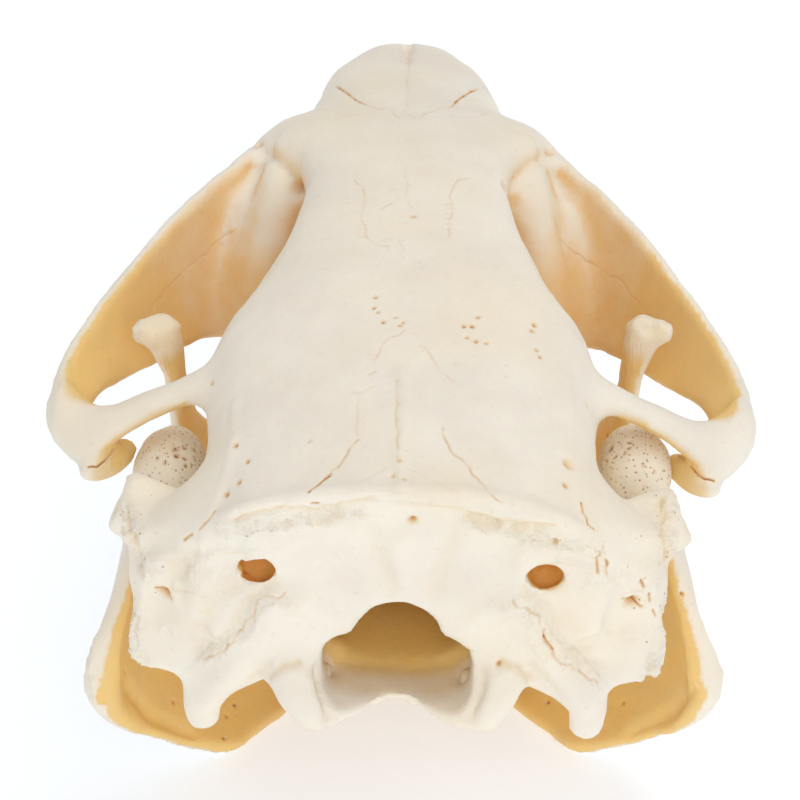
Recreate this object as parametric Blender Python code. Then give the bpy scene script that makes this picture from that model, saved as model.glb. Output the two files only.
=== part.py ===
"""A beaver skull, cranium and jaw, life size, resting on its jaw.

Everything is drawn in the skull's own frame, in millimetres: x to the animal's right, y towards the nose,
z up, with z = 0 on the chewing plane and y = 0 at the back crest. Paired bones are drawn on the right side.
The last step sets the cranium a little askew on the jaw, tilts the whole as it rests on a table, and puts
the origin under the middle of its box.
"""

import math

import bmesh
import bpy
from mathutils import Matrix, Vector

MM = 0.001
SIDES = {"right": 1, "left": -1}

# Driving sizes of the skull, in millimetres
CREST_TOP = 42.0
ROOF_TOP = 46.0
FOREHEAD_HALF = 14.4
NOSE_HALF = 14.8
NOSE_TIP_Y = 124.0
ARCH_OUT = (48.4, 39.0, 25.2)
ARCH_HEEL = (40.8, 28.2, 21.8)
EAR_MOUTH = (37.8, 17.2, 25.8)
MASTOID_OUT = 35.6
SPINE_HOLE_TOP = 22.5
SPINE_HOLE_HALF = 9.9
CHIN = (6.4, 68.0, -36.0)
JAW_ANGLE = (23.8, 32.0, -31.6)
JAW_CONDYLE = (31.7, 31.6, 20.6)
CORONOID_TIP = (34.2, 50.2, 31.2)
JAW_FRONT_Y = 95.0
BITE_GAP = 0.75

# The bow of each front tooth: where its arc turns about, in y and z, its middle radius, and its width
UPPER_BOW = (94.5, -1.5)
UPPER_BOW_RADIUS = 17.3
LOWER_BOW = (73.5, 12.2)
LOWER_BOW_RADIUS = 36.0
FRONT_TOOTH_WIDE = 7.6

# Cheek teeth from front to back: length along the row and width, in millimetres
CHEEK_TEETH = [(8.6, 8.4), (7.6, 7.6), (7.2, 7.0), (6.8, 6.0)]
ROW_FRONT_Y = 73.0
ROW_FRONT_X = 8.4
ROW_BACK_X = 12.6

# The gap at each suture, the fineness of the grown surface, and how many triangles describe it
SEAM = 0.3
VOXEL = 0.85
CRANIUM_TRIANGLES = 7200
JAW_TRIANGLES = 1760

# How the finished skull lies: where the jaw's angle ends and its chin begins, how much of each is worn flat,
# and how the cranium sits askew on the jaw, in degrees
REST_SPLIT_Y = 50.0
REST_FLAT = 0.3
CRANIUM_ROLL = 1.6
CRANIUM_TURN = -0.5

BONE = ((0.86, 0.79, 0.66), 0.55)
HORNY = ((0.80, 0.42, 0.12), 0.30)


def clear_scene():
    for obj in list(bpy.data.objects):
        bpy.data.objects.remove(obj)


def spline_rows(rows, steps):
    """Rows of numbers with smooth rows between them, through every given row."""
    out = []
    for i in range(len(rows) - 1):
        a, b, c, d = rows[max(i - 1, 0)], rows[i], rows[i + 1], rows[min(i + 2, len(rows) - 1)]
        for k in range(steps):
            t = k / steps
            out.append(
                [
                    0.5 * (2 * q + (r - p) * t + (2 * p - 5 * q + 4 * r - s) * t**2 + (3 * q - p - 3 * r + s) * t**3)
                    for p, q, r, s in zip(a, b, c, d)
                ]
            )
    return out + [list(rows[-1])]


def spline(points, count):
    """Evenly numbered points on a smooth curve through the given ones."""
    fine = spline_rows(points, 24)
    return [Vector(fine[round(k / (count - 1) * (len(fine) - 1))]) for k in range(count)]


def mesh_from_rings(rings):
    """One closed shape through rings of points, its two ends filled."""
    bm = bmesh.new()
    loops = [[bm.verts.new(p) for p in ring] for ring in rings]
    for low, high in zip(loops, loops[1:]):
        for k in range(len(low)):
            n = (k + 1) % len(low)
            bm.faces.new((low[k], low[n], high[n], high[k]))
    bm.faces.new(loops[0][::-1])
    bm.faces.new(loops[-1])
    bmesh.ops.recalc_face_normals(bm, faces=bm.faces)
    return bm


def loft(stations, steps=6, around=40):
    """A body along y. Each station is y, half width, height of the widest line, top, bottom, how square the
    upper and the lower half are (2 is round, 4 is boxy) and, off the midline, the x of its middle."""
    rings = []
    rows = [row if len(row) == 8 else (*row, 0.0) for row in stations]
    for y, wide, mid, top, bottom, square_up, square_down, off in spline_rows(rows, steps):
        ring = []
        for k in range(around):
            a = 2 * math.pi * k / around
            s, c = math.sin(a), math.cos(a)
            n = square_up if c >= 0 else square_down
            reach = top - mid if c >= 0 else mid - bottom
            x = off + wide * math.copysign(abs(s) ** (2 / n), s)
            z = mid + reach * math.copysign(abs(c) ** (2 / n), c)
            ring.append(Vector((x, y, z)))
        rings.append(ring)
    return mesh_from_rings(rings)


def tube(path, sizes, side=(1, 0, 0), steps=24, around=16, square=2.0):
    """A rounded bar along a path. Each size is a half width along the side direction and one across it."""
    centres = spline(path, steps)
    halves = spline(sizes, steps)
    rings = []
    for k, centre in enumerate(centres):
        along = (centres[min(k + 1, steps - 1)] - centres[max(k - 1, 0)]).normalized()
        across = Vector(side) - along * along.dot(Vector(side))
        across.normalize()
        other = along.cross(across)
        ring = []
        for j in range(around):
            a = 2 * math.pi * (j + 0.5) / around
            c, s = math.cos(a), math.sin(a)
            c = math.copysign(abs(c) ** (2 / square), c)
            s = math.copysign(abs(s) ** (2 / square), s)
            ring.append(centre + across * halves[k][0] * c + other * halves[k][1] * s)
        rings.append(ring)
    return mesh_from_rings(rings)


def ovoid(centre, radii, turn=(0, 0, 0), around=32, down=20):
    bm = bmesh.new()
    bmesh.ops.create_uvsphere(bm, u_segments=around, v_segments=down, radius=1)
    place = Matrix.Translation(centre)
    for angle, axis in zip(turn, "XYZ"):
        place = place @ Matrix.Rotation(math.radians(angle), 4, axis)
    bmesh.ops.transform(bm, matrix=place @ Matrix.Diagonal((*radii, 1)), verts=bm.verts)
    return bm


def sheet(edge_a, edge_b, bulge=(0, 0, 0), thick=(2.5, 2.5, 2.5), along=26, across=14):
    """A curved plate between two edges, swollen by bulge half way. Thick is at edge a, half way and edge b."""
    first, last = spline(edge_a, along), spline(edge_b, along)
    push = Vector(bulge)
    grid = []
    for a, b in zip(first, last):
        shares = [k / (across - 1) for k in range(across)]
        grid.append([a.lerp(b, t) + push * 4 * t * (1 - t) for t in shares])

    def normal(i, k):
        u = grid[min(i + 1, along - 1)][k] - grid[max(i - 1, 0)][k]
        v = grid[i][min(k + 1, across - 1)] - grid[i][max(k - 1, 0)]
        return u.cross(v).normalized()

    rings = []
    for i in range(along):
        front, back = [], []
        for k in range(across):
            t = k / (across - 1)
            half = ((1 - t) ** 2 * thick[0] + 2 * t * (1 - t) * thick[1] + t * t * thick[2]) / 2
            front.append(grid[i][k] + normal(i, k) * half)
            back.append(grid[i][k] - normal(i, k) * half)
        rings.append(front + back[::-1])
    return mesh_from_rings(rings)


def prism(outline, axis, low, high):
    """An outline in two axes, drawn out along the third. Low and high are numbers or functions of the two."""

    def place(u, v, w):
        w = w(u, v) if callable(w) else w
        return Vector({"x": (w, u, v), "y": (u, w, v), "z": (u, v, w)}[axis])

    return mesh_from_rings([[place(u, v, end) for u, v in outline] for end in (low, high)])


def grown(outline, by):
    """A closed outline moved outwards all round."""
    area = sum(a[0] * b[1] - b[0] * a[1] for a, b in zip(outline, outline[1:] + outline[:1]))
    turn = 1 if area > 0 else -1
    out = []
    for k, here in enumerate(outline):
        here, before, after = Vector(here), Vector(outline[k - 1]), Vector(outline[(k + 1) % len(outline)])
        first, second = (here - before).normalized(), (after - here).normalized()
        corner = Vector((first.y + second.y, -first.x - second.x)).normalized() * turn
        spread = max(0.5, corner.dot(Vector((first.y, -first.x)) * turn))
        out.append(tuple(here + corner * by / spread))
    return out


def mirrored(bm):
    """The same shape on the animal's other side."""
    other = bm.copy()
    bmesh.ops.transform(other, matrix=Matrix.Diagonal((-1, 1, 1, 1)), verts=other.verts)
    bmesh.ops.reverse_faces(other, faces=other.faces)
    return other


def on_side(bm, side):
    return bm if side == "right" else mirrored(bm)


def both(*shapes):
    return [s for shape in shapes for s in (shape, mirrored(shape))]


def new_object(name, shapes):
    """One object in metres that holds all these shapes."""
    whole = bmesh.new()
    for bm in shapes:
        part = bpy.data.meshes.new("part")
        bm.to_mesh(part)
        whole.from_mesh(part)
        bpy.data.meshes.remove(part)
    bmesh.ops.scale(whole, vec=(MM, MM, MM), verts=whole.verts)
    mesh = bpy.data.meshes.new(name)
    whole.to_mesh(mesh)
    whole.free()
    obj = bpy.data.objects.new(name, mesh)
    bpy.context.scene.collection.objects.link(obj)
    return obj


def bake(obj):
    """Leaves the object with the mesh that its modifiers make."""
    bpy.context.view_layer.update()
    evaluated = obj.evaluated_get(bpy.context.evaluated_depsgraph_get())
    mesh = bpy.data.meshes.new_from_object(evaluated)
    obj.modifiers.clear()
    old, obj.data = obj.data, mesh
    bpy.data.meshes.remove(old)
    return obj


def combine(obj, shapes, operation):
    """One Boolean with a collection of closed shapes, whose objects are then removed."""
    tools = bpy.data.collections.new("tools")
    bpy.context.scene.collection.children.link(tools)
    others = [new_object("tool", [s]) for s in shapes]
    for other in others:
        bpy.context.scene.collection.objects.unlink(other)
        tools.objects.link(other)
    modifier = obj.modifiers.new("Boolean", "BOOLEAN")
    modifier.operation = operation
    modifier.operand_type = "COLLECTION"
    modifier.collection = tools
    bake(obj)
    for other in others:
        bpy.data.objects.remove(other)
    bpy.data.collections.remove(tools)
    return keep_largest(obj)


def keep_largest(obj):
    """Drops every scrap but the largest closed surface."""
    bm = bmesh.new()
    bm.from_mesh(obj.data)
    left = set(bm.verts)
    groups = []
    while left:
        seed = left.pop()
        group, front = [seed], [seed]
        while front:
            for edge in front.pop().link_edges:
                for vert in edge.verts:
                    if vert in left:
                        left.remove(vert)
                        group.append(vert)
                        front.append(vert)
        groups.append(group)
    groups.sort(key=len)
    scraps = [v for group in groups[:-1] for v in group]
    bmesh.ops.delete(bm, geom=scraps, context="VERTS")
    bm.to_mesh(obj.data)
    bm.free()
    return obj


def regrow(obj, rounds):
    """Draws the object's surface anew as one even skin, and rounds it softly."""
    skin = obj.modifiers.new("Remesh", "REMESH")
    skin.mode = "VOXEL"
    skin.voxel_size = VOXEL * MM
    smooth = obj.modifiers.new("Smooth", "SMOOTH")
    smooth.iterations = rounds
    smooth.factor = 0.5
    return keep_largest(bake(obj))


def fuse(name, shapes):
    """Shapes that overlap, grown together as bone does."""
    return regrow(new_object(name, shapes), 4)


def thin_out(obj, triangles):
    """Fewer triangles, fewest where the bone is flat."""
    modifier = obj.modifiers.new("Decimate", "DECIMATE")
    modifier.ratio = min(1.0, triangles / sum(len(p.vertices) - 2 for p in obj.data.polygons))
    modifier.use_collapse_triangulate = True
    return bake(obj)


def part_off(body, name, block):
    """Cuts a bone out of the body along a thin seam. Block gives the bone's region, grown by a distance."""
    bone = body.copy()
    bone.data = body.data.copy()
    bone.name = name
    bpy.context.scene.collection.objects.link(bone)
    combine(bone, [block(0)], "INTERSECT")
    combine(body, [block(SEAM)], "DIFFERENCE")
    return bone


# The cranium


def braincase():
    """The brain's box and the forehead, from the back crest to the root of the nose."""
    return loft(
        [
            # y, half width, height of the widest line, top, bottom, upper and lower squareness
            (1.2, 27.3, 24.0, CREST_TOP, 8.0, 2.4, 2.4),
            (6.0, 27.6, 24.5, CREST_TOP + 0.6, 6.5, 2.4, 2.3),
            (14.0, 26.8, 26.0, CREST_TOP + 1.4, 6.5, 2.5, 2.2),
            (24.0, 26.0, 27.5, CREST_TOP + 2.3, 7.0, 2.6, 2.1),
            (33.0, 26.4, 29.0, CREST_TOP + 3.1, 8.0, 2.6, 1.9),
            (40.0, 25.8, 30.0, ROOF_TOP - 0.4, 9.0, 2.7, 1.7),
            (48.0, 21.4, 31.0, ROOF_TOP, 10.0, 2.9, 1.5),
            (57.0, 17.4, 33.5, ROOF_TOP, 10.0, 3.2, 1.3),
            (66.0, FOREHEAD_HALF + 0.3, 37.0, ROOF_TOP - 0.3, 10.0, 3.6, 1.1),
            (72.0, FOREHEAD_HALF, 37.5, ROOF_TOP - 0.9, 10.0, 3.6, 1.1),
            (78.0, FOREHEAD_HALF + 1.6, 36.5, ROOF_TOP - 2.0, 10.0, 3.4, 1.3),
            (84.0, 20.0, 34.5, ROOF_TOP - 3.4, 9.0, 3.0, 1.8),
            (90.0, 20.2, 32.0, ROOF_TOP - 5.2, 10.0, 2.8, 2.2),
            (96.0, 15.6, 27.0, ROOF_TOP - 7.4, 12.0, 3.2, 2.6),
            (100.0, NOSE_HALF - 2.0, 24.0, ROOF_TOP - 10.0, 14.0, 3.0, 2.6),
        ]
    )


def snout():
    """Premaxillae and nasal bones: deep, broad and boxy, a little swollen at the sides."""
    return loft(
        [
            (84.0, NOSE_HALF - 1.0, 26.0, 42.0, 9.0, 3.2, 2.6),
            (92.0, NOSE_HALF + 0.4, 26.0, 40.0, 11.5, 3.4, 2.8),
            (99.0, NOSE_HALF + 0.3, 25.0, 38.2, 10.5, 3.6, 2.8),
            (106.0, NOSE_HALF - 0.8, 23.0, 36.2, 6.5, 3.6, 2.8),
            (112.0, NOSE_HALF - 1.4, 21.0, 34.3, 2.8, 3.4, 2.6),
            (116.5, NOSE_HALF - 2.6, 21.0, 32.8, 2.6, 3.2, 2.4),
            (120.5, NOSE_HALF - 5.2, 22.0, 31.6, 6.0, 2.8, 2.2),
            (NOSE_TIP_Y, NOSE_HALF - 9.4, 24.0, 30.6, 12.0, 2.2, 2.0),
        ]
    )


def nose_front():
    """What is cut away so that the nose opening leans back under the tips of the nasal bones."""
    back = [(NOSE_TIP_Y + 1.5, 40), (NOSE_TIP_Y - 0.3, 29.5), (NOSE_TIP_Y - 6, 23), (114.4, 10), (114.6, 4), (113, -6)]
    return prism(back + [(140, -6), (140, 40)], "x", -30, 30)


def nose_hollow():
    return tube(
        [(0, 130, 17), (0, 119, 19), (0, 110, 20.5), (0, 100, 22), (0, 93, 23)],
        [(7.0, 10.0), (8.2, 10.0), (8.4, 9.0), (7.0, 7.0), (4.0, 4.0)],
    )


def cheek_arch():
    """The zygomatic arch: a deep plate from the side of the snout, out and back to its widest point."""
    top = [
        (11.0, 98.0, 35.0),
        (17.0, 92.5, 37.0),
        (21.2, 87.0, 36.6),
        (25.6, 81.5, 35.4),
        (30.0, 75.5, 34.8),
        (33.8, 69.0, 34.2),
        (38.4, 61.0, 32.4),
        (42.4, 54.0, 30.6),
        (46.0, 47.0, 28.2),
        ARCH_OUT,
        (47.2, 34.0, 23.8),
        ARCH_HEEL,
    ]
    bottom = [
        (11.0, 93.0, 9.5),
        (15.0, 86.0, 8.0),
        (18.5, 81.0, 8.2),
        (22.0, 76.0, 10.0),
        (26.4, 70.5, 13.0),
        (30.6, 65.0, 15.4),
        (35.2, 58.0, 17.0),
        (39.2, 51.0, 19.4),
        (41.8, 45.5, 21.4),
        (43.2, 39.0, 21.6),
        (42.8, 33.0, 20.8),
        (40.4, 29.0, 20.8),
    ]
    return sheet(top, bottom, bulge=(0.9, 0.6, 0), thick=(2.2, 3.4, 2.6), along=48)


def arch_shoulder():
    """The squamosal's process, from the braincase out to the paddle that caps the arch."""
    front = [(22, 40.0, 33.4), (28.7, 36.4, 30.2), (34.4, 35.4, 27.8), (40.2, 35.6, 25.4), (44.2, 39.4, 25.0), (47.0, 43.0, 26.0)]
    back = [(22, 30.0, 33.5), (28.0, 31.4, 31.2), (33.4, 30.8, 28.8), (37.8, 30.6, 25.6), (41.4, 30.4, 22.8), (47.4, 35.0, 23.6)]
    return sheet(front, back, bulge=(0.5, -0.3, 1.2), thick=(2.8, 4.2, 2.8), along=36)


def arch_floor():
    """The cheek's broad front root, between the tooth row and the arch."""
    return tube(
        [(6, 79, 11), (16, 78.5, 12), (23, 77, 14.5), (27, 74.5, 18.5)],
        [(9.5, 5.0), (9.0, 4.8), (7.6, 5.0), (4.0, 5.0)],
        side=(0, 1, 0),
    )


def tooth_capsule():
    """The swelling over the roots of the cheek teeth, in the front of the eye socket."""
    return tube(
        [(14.5, 85, 37), (17.0, 79.5, 33), (19.0, 75.5, 26.5), (19.6, 72, 18), (16.5, 70, 9)],
        [(4.4, 4.0), (4.6, 4.6), (4.6, 5.2), (5.4, 6.6), (6.0, 8.0)],
    )


def socket_floor():
    """The hollow floor of the eye socket, between the tooth roots and the arch."""
    return tube(
        [(21.5, 80, 31), (23.0, 76.5, 25), (24.0, 73.5, 19), (23.5, 71, 13.5)],
        [(2.6, 2.6), (3.4, 3.4), (4.2, 4.0), (4.0, 4.0)],
    )


def palate():
    return loft(
        [
            (38.0, 8.0, 12.0, 17.0, 8.0, 2.2, 2.6),
            (43.0, 15.5, 11.0, 19.0, 4.6, 2.0, 3.4),
            (52.0, 16.0, 11.0, 22.0, 4.0, 2.0, 3.6),
            (62.0, 14.6, 11.0, 25.0, 4.0, 2.0, 3.6),
            (72.0, 13.0, 11.0, 27.0, 4.2, 2.0, 3.6),
            (78.0, 10.5, 12.0, 27.0, 6.0, 2.2, 3.0),
            (88.0, 8.4, 15.0, 26.0, 9.5, 2.4, 2.4),
            (96.0, 8.0, 17.0, 26.0, 9.5, 2.4, 2.4),
        ]
    )


def palate_groove():
    return tube(
        [(0, 80, 5.0), (0, 70, 3.6), (0, 58, 3.2), (0, 46, 4.6), (0, 40, 9), (0, 33, 10)],
        [(2.6, 1.6), (3.4, 3.0), (5.0, 3.4), (6.2, 4.0), (4.6, 3.6), (3.4, 1.6)],
    )


def mastoid_plate():
    """The rough plate beside the occiput, from the crest down to its free lower edge."""
    inner = [(14, 2.6, 33), (15, 3.2, 26), (16, 4.0, 19), (17, 4.8, 13), (18, 5.2, 10)]
    outer = [(27, 4.6, 31), (33.2, 7.4, 25), (MASTOID_OUT - 0.8, 8.2, 17), (MASTOID_OUT, 7.2, 7.8), (28.4, 6.0, 5.2)]
    return sheet(inner, outer, bulge=(0.4, 0.7, 0), thick=(7, 7, 4.4), along=30)


def ear_shelf():
    """Squamosal and mastoid, from the braincase out over the mouth of the ear."""
    rear = [(23, 2.6, 34), (27, 4.4, 31), (32, 6.8, 27.4), (MASTOID_OUT, 9.6, 23.6)]
    front = [(23, 21.0, 31), (27, 17.2, 27.4), (31.2, 15.0, 24.0), (35.8, 18.4, 27.6)]
    return sheet(rear, front, bulge=(0, 0, 1.0), thick=(5, 6, 4.0))


def mastoid_body():
    return ovoid((28.5, 12.5, 17), (7.4, 7.4, 9.5), turn=(0, 18, 0))


def neck_condyle():
    return tube(
        [(2.0, 3.4, 6.0), (6.4, 0.8, 5.0), (10.2, -0.3, 5.6), (13.0, 0.2, 8.4), (13.2, 2.2, 12.4), (12.6, 4.6, 15)],
        [(1.4, 1.4), (2.0, 2.0), (2.8, 3.0), (3.2, 3.4), (2.4, 2.8), (1.6, 1.8)],
        side=(0, 1, 0),
    )


def jugular_process():
    """The long process that hangs beside the condyle."""
    return tube(
        [(14.0, 4.2, 15), (19.0, 4.2, 10.4), (23.6, 4.8, 6.2), (26.0, 5.0, 2.0), (25.3, 4.8, -2.8)],
        [(3.6, 4.6), (3.3, 3.8), (2.8, 3.3), (2.6, 2.9), (2.3, 2.5)],
        side=(0, 1, 0),
    )


def skull_base():
    return loft(
        [
            (2.6, 9.0, 8.0, 11.0, 4.6, 2.0, 2.4),
            (8.0, 9.0, 7.0, 13.0, 1.4, 2.0, 2.8),
            (16.0, 8.0, 7.0, 15.0, 1.6, 2.0, 2.8),
            (26.0, 6.6, 8.0, 16.0, 3.6, 2.0, 2.6),
            (38.0, 5.6, 10.0, 17.0, 6.0, 2.0, 2.4),
            (46.0, 6.0, 13.0, 18.0, 9.0, 2.0, 2.4),
        ]
    )


def base_ridge():
    """The ridge on each side of the pit under the skull's base."""
    return tube(
        [(2.2, 6.0, 1.4), (3.6, 10.0, -0.6), (6.0, 15, -0.2), (7.0, 22, 2.0)],
        [(1.2, 1.4), (1.4, 1.8), (1.5, 2.2), (1.2, 2.0)],
    )


def pterygoid():
    return sheet(
        [(6.5, 54, 12), (6.6, 46, 12), (7.0, 38, 11)],
        [(7.4, 54, 5), (7.4, 45, 3.5), (9.0, 37, 3.0)],
        thick=(2.6, 2.0, 1.6),
    )


def crest():
    """The raised edge between the roof and the back of the skull."""
    return tube(
        [(-1, 0.6, 41.8), (10, 0.8, 40.9), (20.4, 1.2, 37.2), (25.4, 2.6, 32.0), (29, 5.0, 28.6)],
        [(1.2, 1.4), (1.3, 1.5), (1.4, 1.6), (1.4, 1.6), (1.2, 1.4)],
        side=(0, 1, 0),
    )


def spine_mouth():
    """The mouth of the spinal hole: an arch over a wider part with upright sides, open to the notch behind."""
    half = [
        (0.0, SPINE_HOLE_TOP),
        (3.0, SPINE_HOLE_TOP - 0.8),
        (5.2, SPINE_HOLE_TOP - 3.4),
        (5.8, SPINE_HOLE_TOP - 5.6),
        (8.4, SPINE_HOLE_TOP - 6.6),
        (SPINE_HOLE_HALF, SPINE_HOLE_TOP - 8.4),
        (SPINE_HOLE_HALF, 8.4),
        (SPINE_HOLE_HALF - 1.4, 6.2),
        (4.0, 5.4),
        (0.0, 5.2),
    ]
    return prism(half + [(-x, z) for x, z in half[-2:0:-1]], "y", -8, 9)


def spine_hole():
    return loft(
        [
            (4.0, SPINE_HOLE_HALF - 1, 12.0, SPINE_HOLE_TOP - 1.5, 5.8, 1.8, 2.6),
            (9.0, SPINE_HOLE_HALF - 0.4, 12.0, SPINE_HOLE_TOP - 1, 5.8, 2.0, 2.4),
            (16.0, 12.0, 14.0, 29.0, 6.4, 2.0, 2.2),
            (26.0, 16.0, 19.0, 34.0, 8.0, 2.0, 2.0),
            (34.0, 14.0, 22.0, 34.0, 11.0, 2.0, 2.0),
            (41.0, 6.0, 23.0, 29.0, 17.0, 2.0, 2.0),
        ]
    )


def ear_hole():
    out = Vector(EAR_MOUTH)
    return tube([out + Vector((4, 0.8, 0.4)), out, out - Vector((8, 0.2, 3.4))], [(2.3, 2.7), (2.3, 2.7), (1.4, 1.6)])


def mastoid_hole():
    return ovoid((18.6, 1.5, 27.9), (2.5, 6.5, 1.7), turn=(0, 24, 0))


def cranium():
    shapes = [braincase(), snout(), palate(), skull_base()]
    shapes += both(cheek_arch(), arch_shoulder(), arch_floor(), tooth_capsule(), socket_floor())
    shapes += both(mastoid_plate(), ear_shelf(), mastoid_body(), bulla(), ear_tube(), neck_condyle(), jugular_process())
    shapes += both(base_ridge(), pterygoid(), crest())
    whole = fuse("cranium", shapes)
    hollows = [nose_front(), nose_hollow(), spine_mouth(), spine_hole(), palate_groove()] + both(ear_hole(), mastoid_hole())
    return regrow(combine(whole, hollows, "DIFFERENCE"), 1)


def bulla():
    return ovoid((16.6, 17.5, 6.8), (7.4, 10.6, 8.4), turn=(0, 0, -22))


def ear_tube():
    out = Vector(EAR_MOUTH)
    return tube(
        [(18, 18.5, 10), (26, 17.6, 17.5), (32, 16.6, 23.4), out],
        [(6.0, 6.0), (5.0, 5.0), (4.2, 4.8), (3.9, 4.9)],
        side=(0, 1, 0),
    )


# The jaw


def jaw_body():
    return loft(
        [
            # y, half width, height of the widest line, top, bottom, squareness above and below, x of its middle
            (JAW_FRONT_Y, 5.6, -18.6, -12.0, -26.4, 2.4, 2.4, 5.4),
            (91.0, 6.1, -20.4, -11.0, -30.4, 2.4, 2.4, 5.6),
            (84.0, 6.5, -21.4, -10.6, -33.8, 2.4, 2.4, 6.0),
            (76.0, 6.7, -21.0, -7.6, -35.6, 2.8, 2.2, 7.3),
            (70.0, 6.9, -19.0, -4.8, -35.8, 3.8, 2.2, 8.8),
            (62.0, 6.7, -17.0, -4.4, -33.4, 3.8, 2.2, 11.0),
            (54.0, 6.2, -15.0, -4.6, -30.6, 3.6, 2.0, 13.4),
            (47.0, 5.0, -13.0, -5.0, -27.6, 3.0, 2.0, 15.6),
            (41.0, 3.6, -11.0, -5.6, -23.0, 2.4, 2.0, 17.6),
        ]
    )


def jaw_blade():
    """Ramus and angle: one curved plate from the neck of the condyle round the rear rim to the chin."""
    rim = [
        (32.5, 29.5, 15),
        (34.8, 27.0, 12.5),
        (37.2, 24.6, 8.5),
        (39.6, 21.4, 2),
        (41.7, 19.6, -5),
        (41.4, 20.4, -12),
        (38.6, 23.4, -19.6),
        (33.6, 27.2, -25.8),
        (28.4, 29.8, -29.8),
        JAW_ANGLE,
        (21.2, 36.0, -32.2),
        (17.2, 40.6, -32.6),
        (12.6, 48.0, -33.2),
        (9.0, 60.0, -34.2),
    ]
    front = [
        (33.0, 40.0, 15),
        (33.2, 45.0, 11),
        (33.0, 51.0, 5),
        (31.0, 56.0, -1),
        (28.0, 59.5, -6),
        (25.0, 61.0, -10),
        (21.8, 62.0, -14),
        (19.4, 62.0, -17),
        (17.0, 63.0, -20),
        (15.0, 64.0, -22),
        (13.4, 64.0, -24),
        (11.8, 65.0, -26),
        (10.4, 66.0, -28),
        (8.8, 67.0, -31),
    ]
    return sheet(rim, front, bulge=(2.2, -0.4, -1.6), thick=(2.8, 1.9, 4.2), along=52)


def jaw_rim():
    """The thick, spongy edge of the jaw's angle."""
    return tube(
        [
            (37.2, 24.4, 8.0),
            (39.8, 21.0, 1.4),
            (41.5, 19.6, -5.0),
            (41.6, 20.4, -10.6),
            (40.0, 22.6, -16.6),
            (37.4, 25.0, -21.4),
        ],
        [(1.2, 1.2), (1.8, 1.6), (2.6, 2.2), (2.6, 2.3), (1.9, 1.8), (1.2, 1.2)],
    )


def coronoid():
    return tube(
        [
            (14.5, 65, -19),
            (24.0, 60.5, -6),
            (30.2, 56.8, 5),
            (31.7, 54.2, 15),
            (32.3, 52.6, 23),
            (33.3, 51.2, 28.6),
            CORONOID_TIP,
        ],
        [(4.4, 7.0), (3.6, 7.4), (2.2, 5.8), (1.6, 4.2), (1.8, 3.4), (2.7, 3.0), (2.5, 2.3)],
    )


def coronoid_knob():
    return ovoid(Vector(CORONOID_TIP) + Vector((2.0, -0.2, -0.8)), (1.7, 1.9, 1.9))


def jaw_condyle():
    return ovoid(JAW_CONDYLE, (5.2, 7.0, 5.0), turn=(12, 0, 6))


def condyle_neck():
    return tube(
        [(31.6, 32, 18), (32.4, 34, 10), (32.8, 38, 0), (31, 42, -8)],
        [(3.2, 4.4), (2.2, 5.4), (2.0, 7.0), (1.6, 7.0)],
    )


def incisor_capsule():
    """The long swelling over the root of the lower front tooth, below the condyle."""
    return tube(
        [(33.6, 37, 2), (31.0, 43, -8), (25.0, 51, -15), (18.0, 59, -20)],
        [(2.4, 3.0), (3.0, 4.0), (3.6, 5.0), (4.0, 6.0)],
    )


def chin():
    tip = Vector(CHIN)
    return tube(
        [(4.4, 92, -28), (5.2, 82, -31.5), tip + Vector((-0.4, 4, 1.8)), tip + Vector((0.4, -3, 3.0))],
        [(3.6, 3.4), (4.6, 3.6), (3.8, 2.2), (2.4, 2.2)],
    )


def jaw(side):
    name = "mandible_" + side
    shapes = [jaw_body(), jaw_blade(), jaw_rim(), coronoid(), coronoid_knob(), jaw_condyle(), condyle_neck(), incisor_capsule(), chin()]
    half = fuse(name, [on_side(s, side) for s in shapes])
    midline = prism([(50, -60), (120, -60), (120, 10), (50, 10)], "x", -20, SEAM / 2)
    combine(half, [on_side(midline, side)], "DIFFERENCE")
    return half


# Teeth


def front_tooth(bow, radius, start, end, deep, grow=0.0):
    """A front tooth bent round its bow: flat enamel outside, narrower behind, ground to a chisel at the tip.
    Start and end are degrees round the bow from straight ahead. A grown tooth is the hole for one."""
    rings = []
    count = 12
    start += math.copysign(math.degrees(grow / radius), start - end)
    for k in range(count + 1):
        share = k / count
        angle = math.radians(start + (end - start) * share)
        out = Vector((0, math.cos(angle), math.sin(angle)))
        centre = Vector((0, bow[0], bow[1])) + out * radius
        wide = FRONT_TOOTH_WIDE / 2 + grow
        edge = deep / 2 + grow
        ground = max(0.0, (share - 0.78) / 0.22)
        back = edge * (1 - 1.86 * ground) if grow == 0 else edge
        ring = [
            (-wide * 0.72, -back),
            (wide * 0.72, -back),
            (wide, -back * 0.35),
            (wide, edge * 0.62),
            (wide * 0.74, edge),
            (-wide * 0.74, edge),
            (-wide, edge * 0.62),
            (-wide, -back * 0.35),
        ]
        x = FRONT_TOOTH_WIDE / 2 + SEAM / 2
        rings.append([centre + Vector((x + u, 0, 0)) + out * v for u, v in ring])
    return mesh_from_rings(rings)


def upper_front_tooth(grow=0.0):
    """Its root ends in the bone under the floor of the nose."""
    return front_tooth(UPPER_BOW, UPPER_BOW_RADIUS, 31, -46, 6.6, grow)


def lower_front_tooth(grow=0.0):
    return front_tooth(LOWER_BOW, LOWER_BOW_RADIUS, -74, -36, 6.8, grow)


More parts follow.
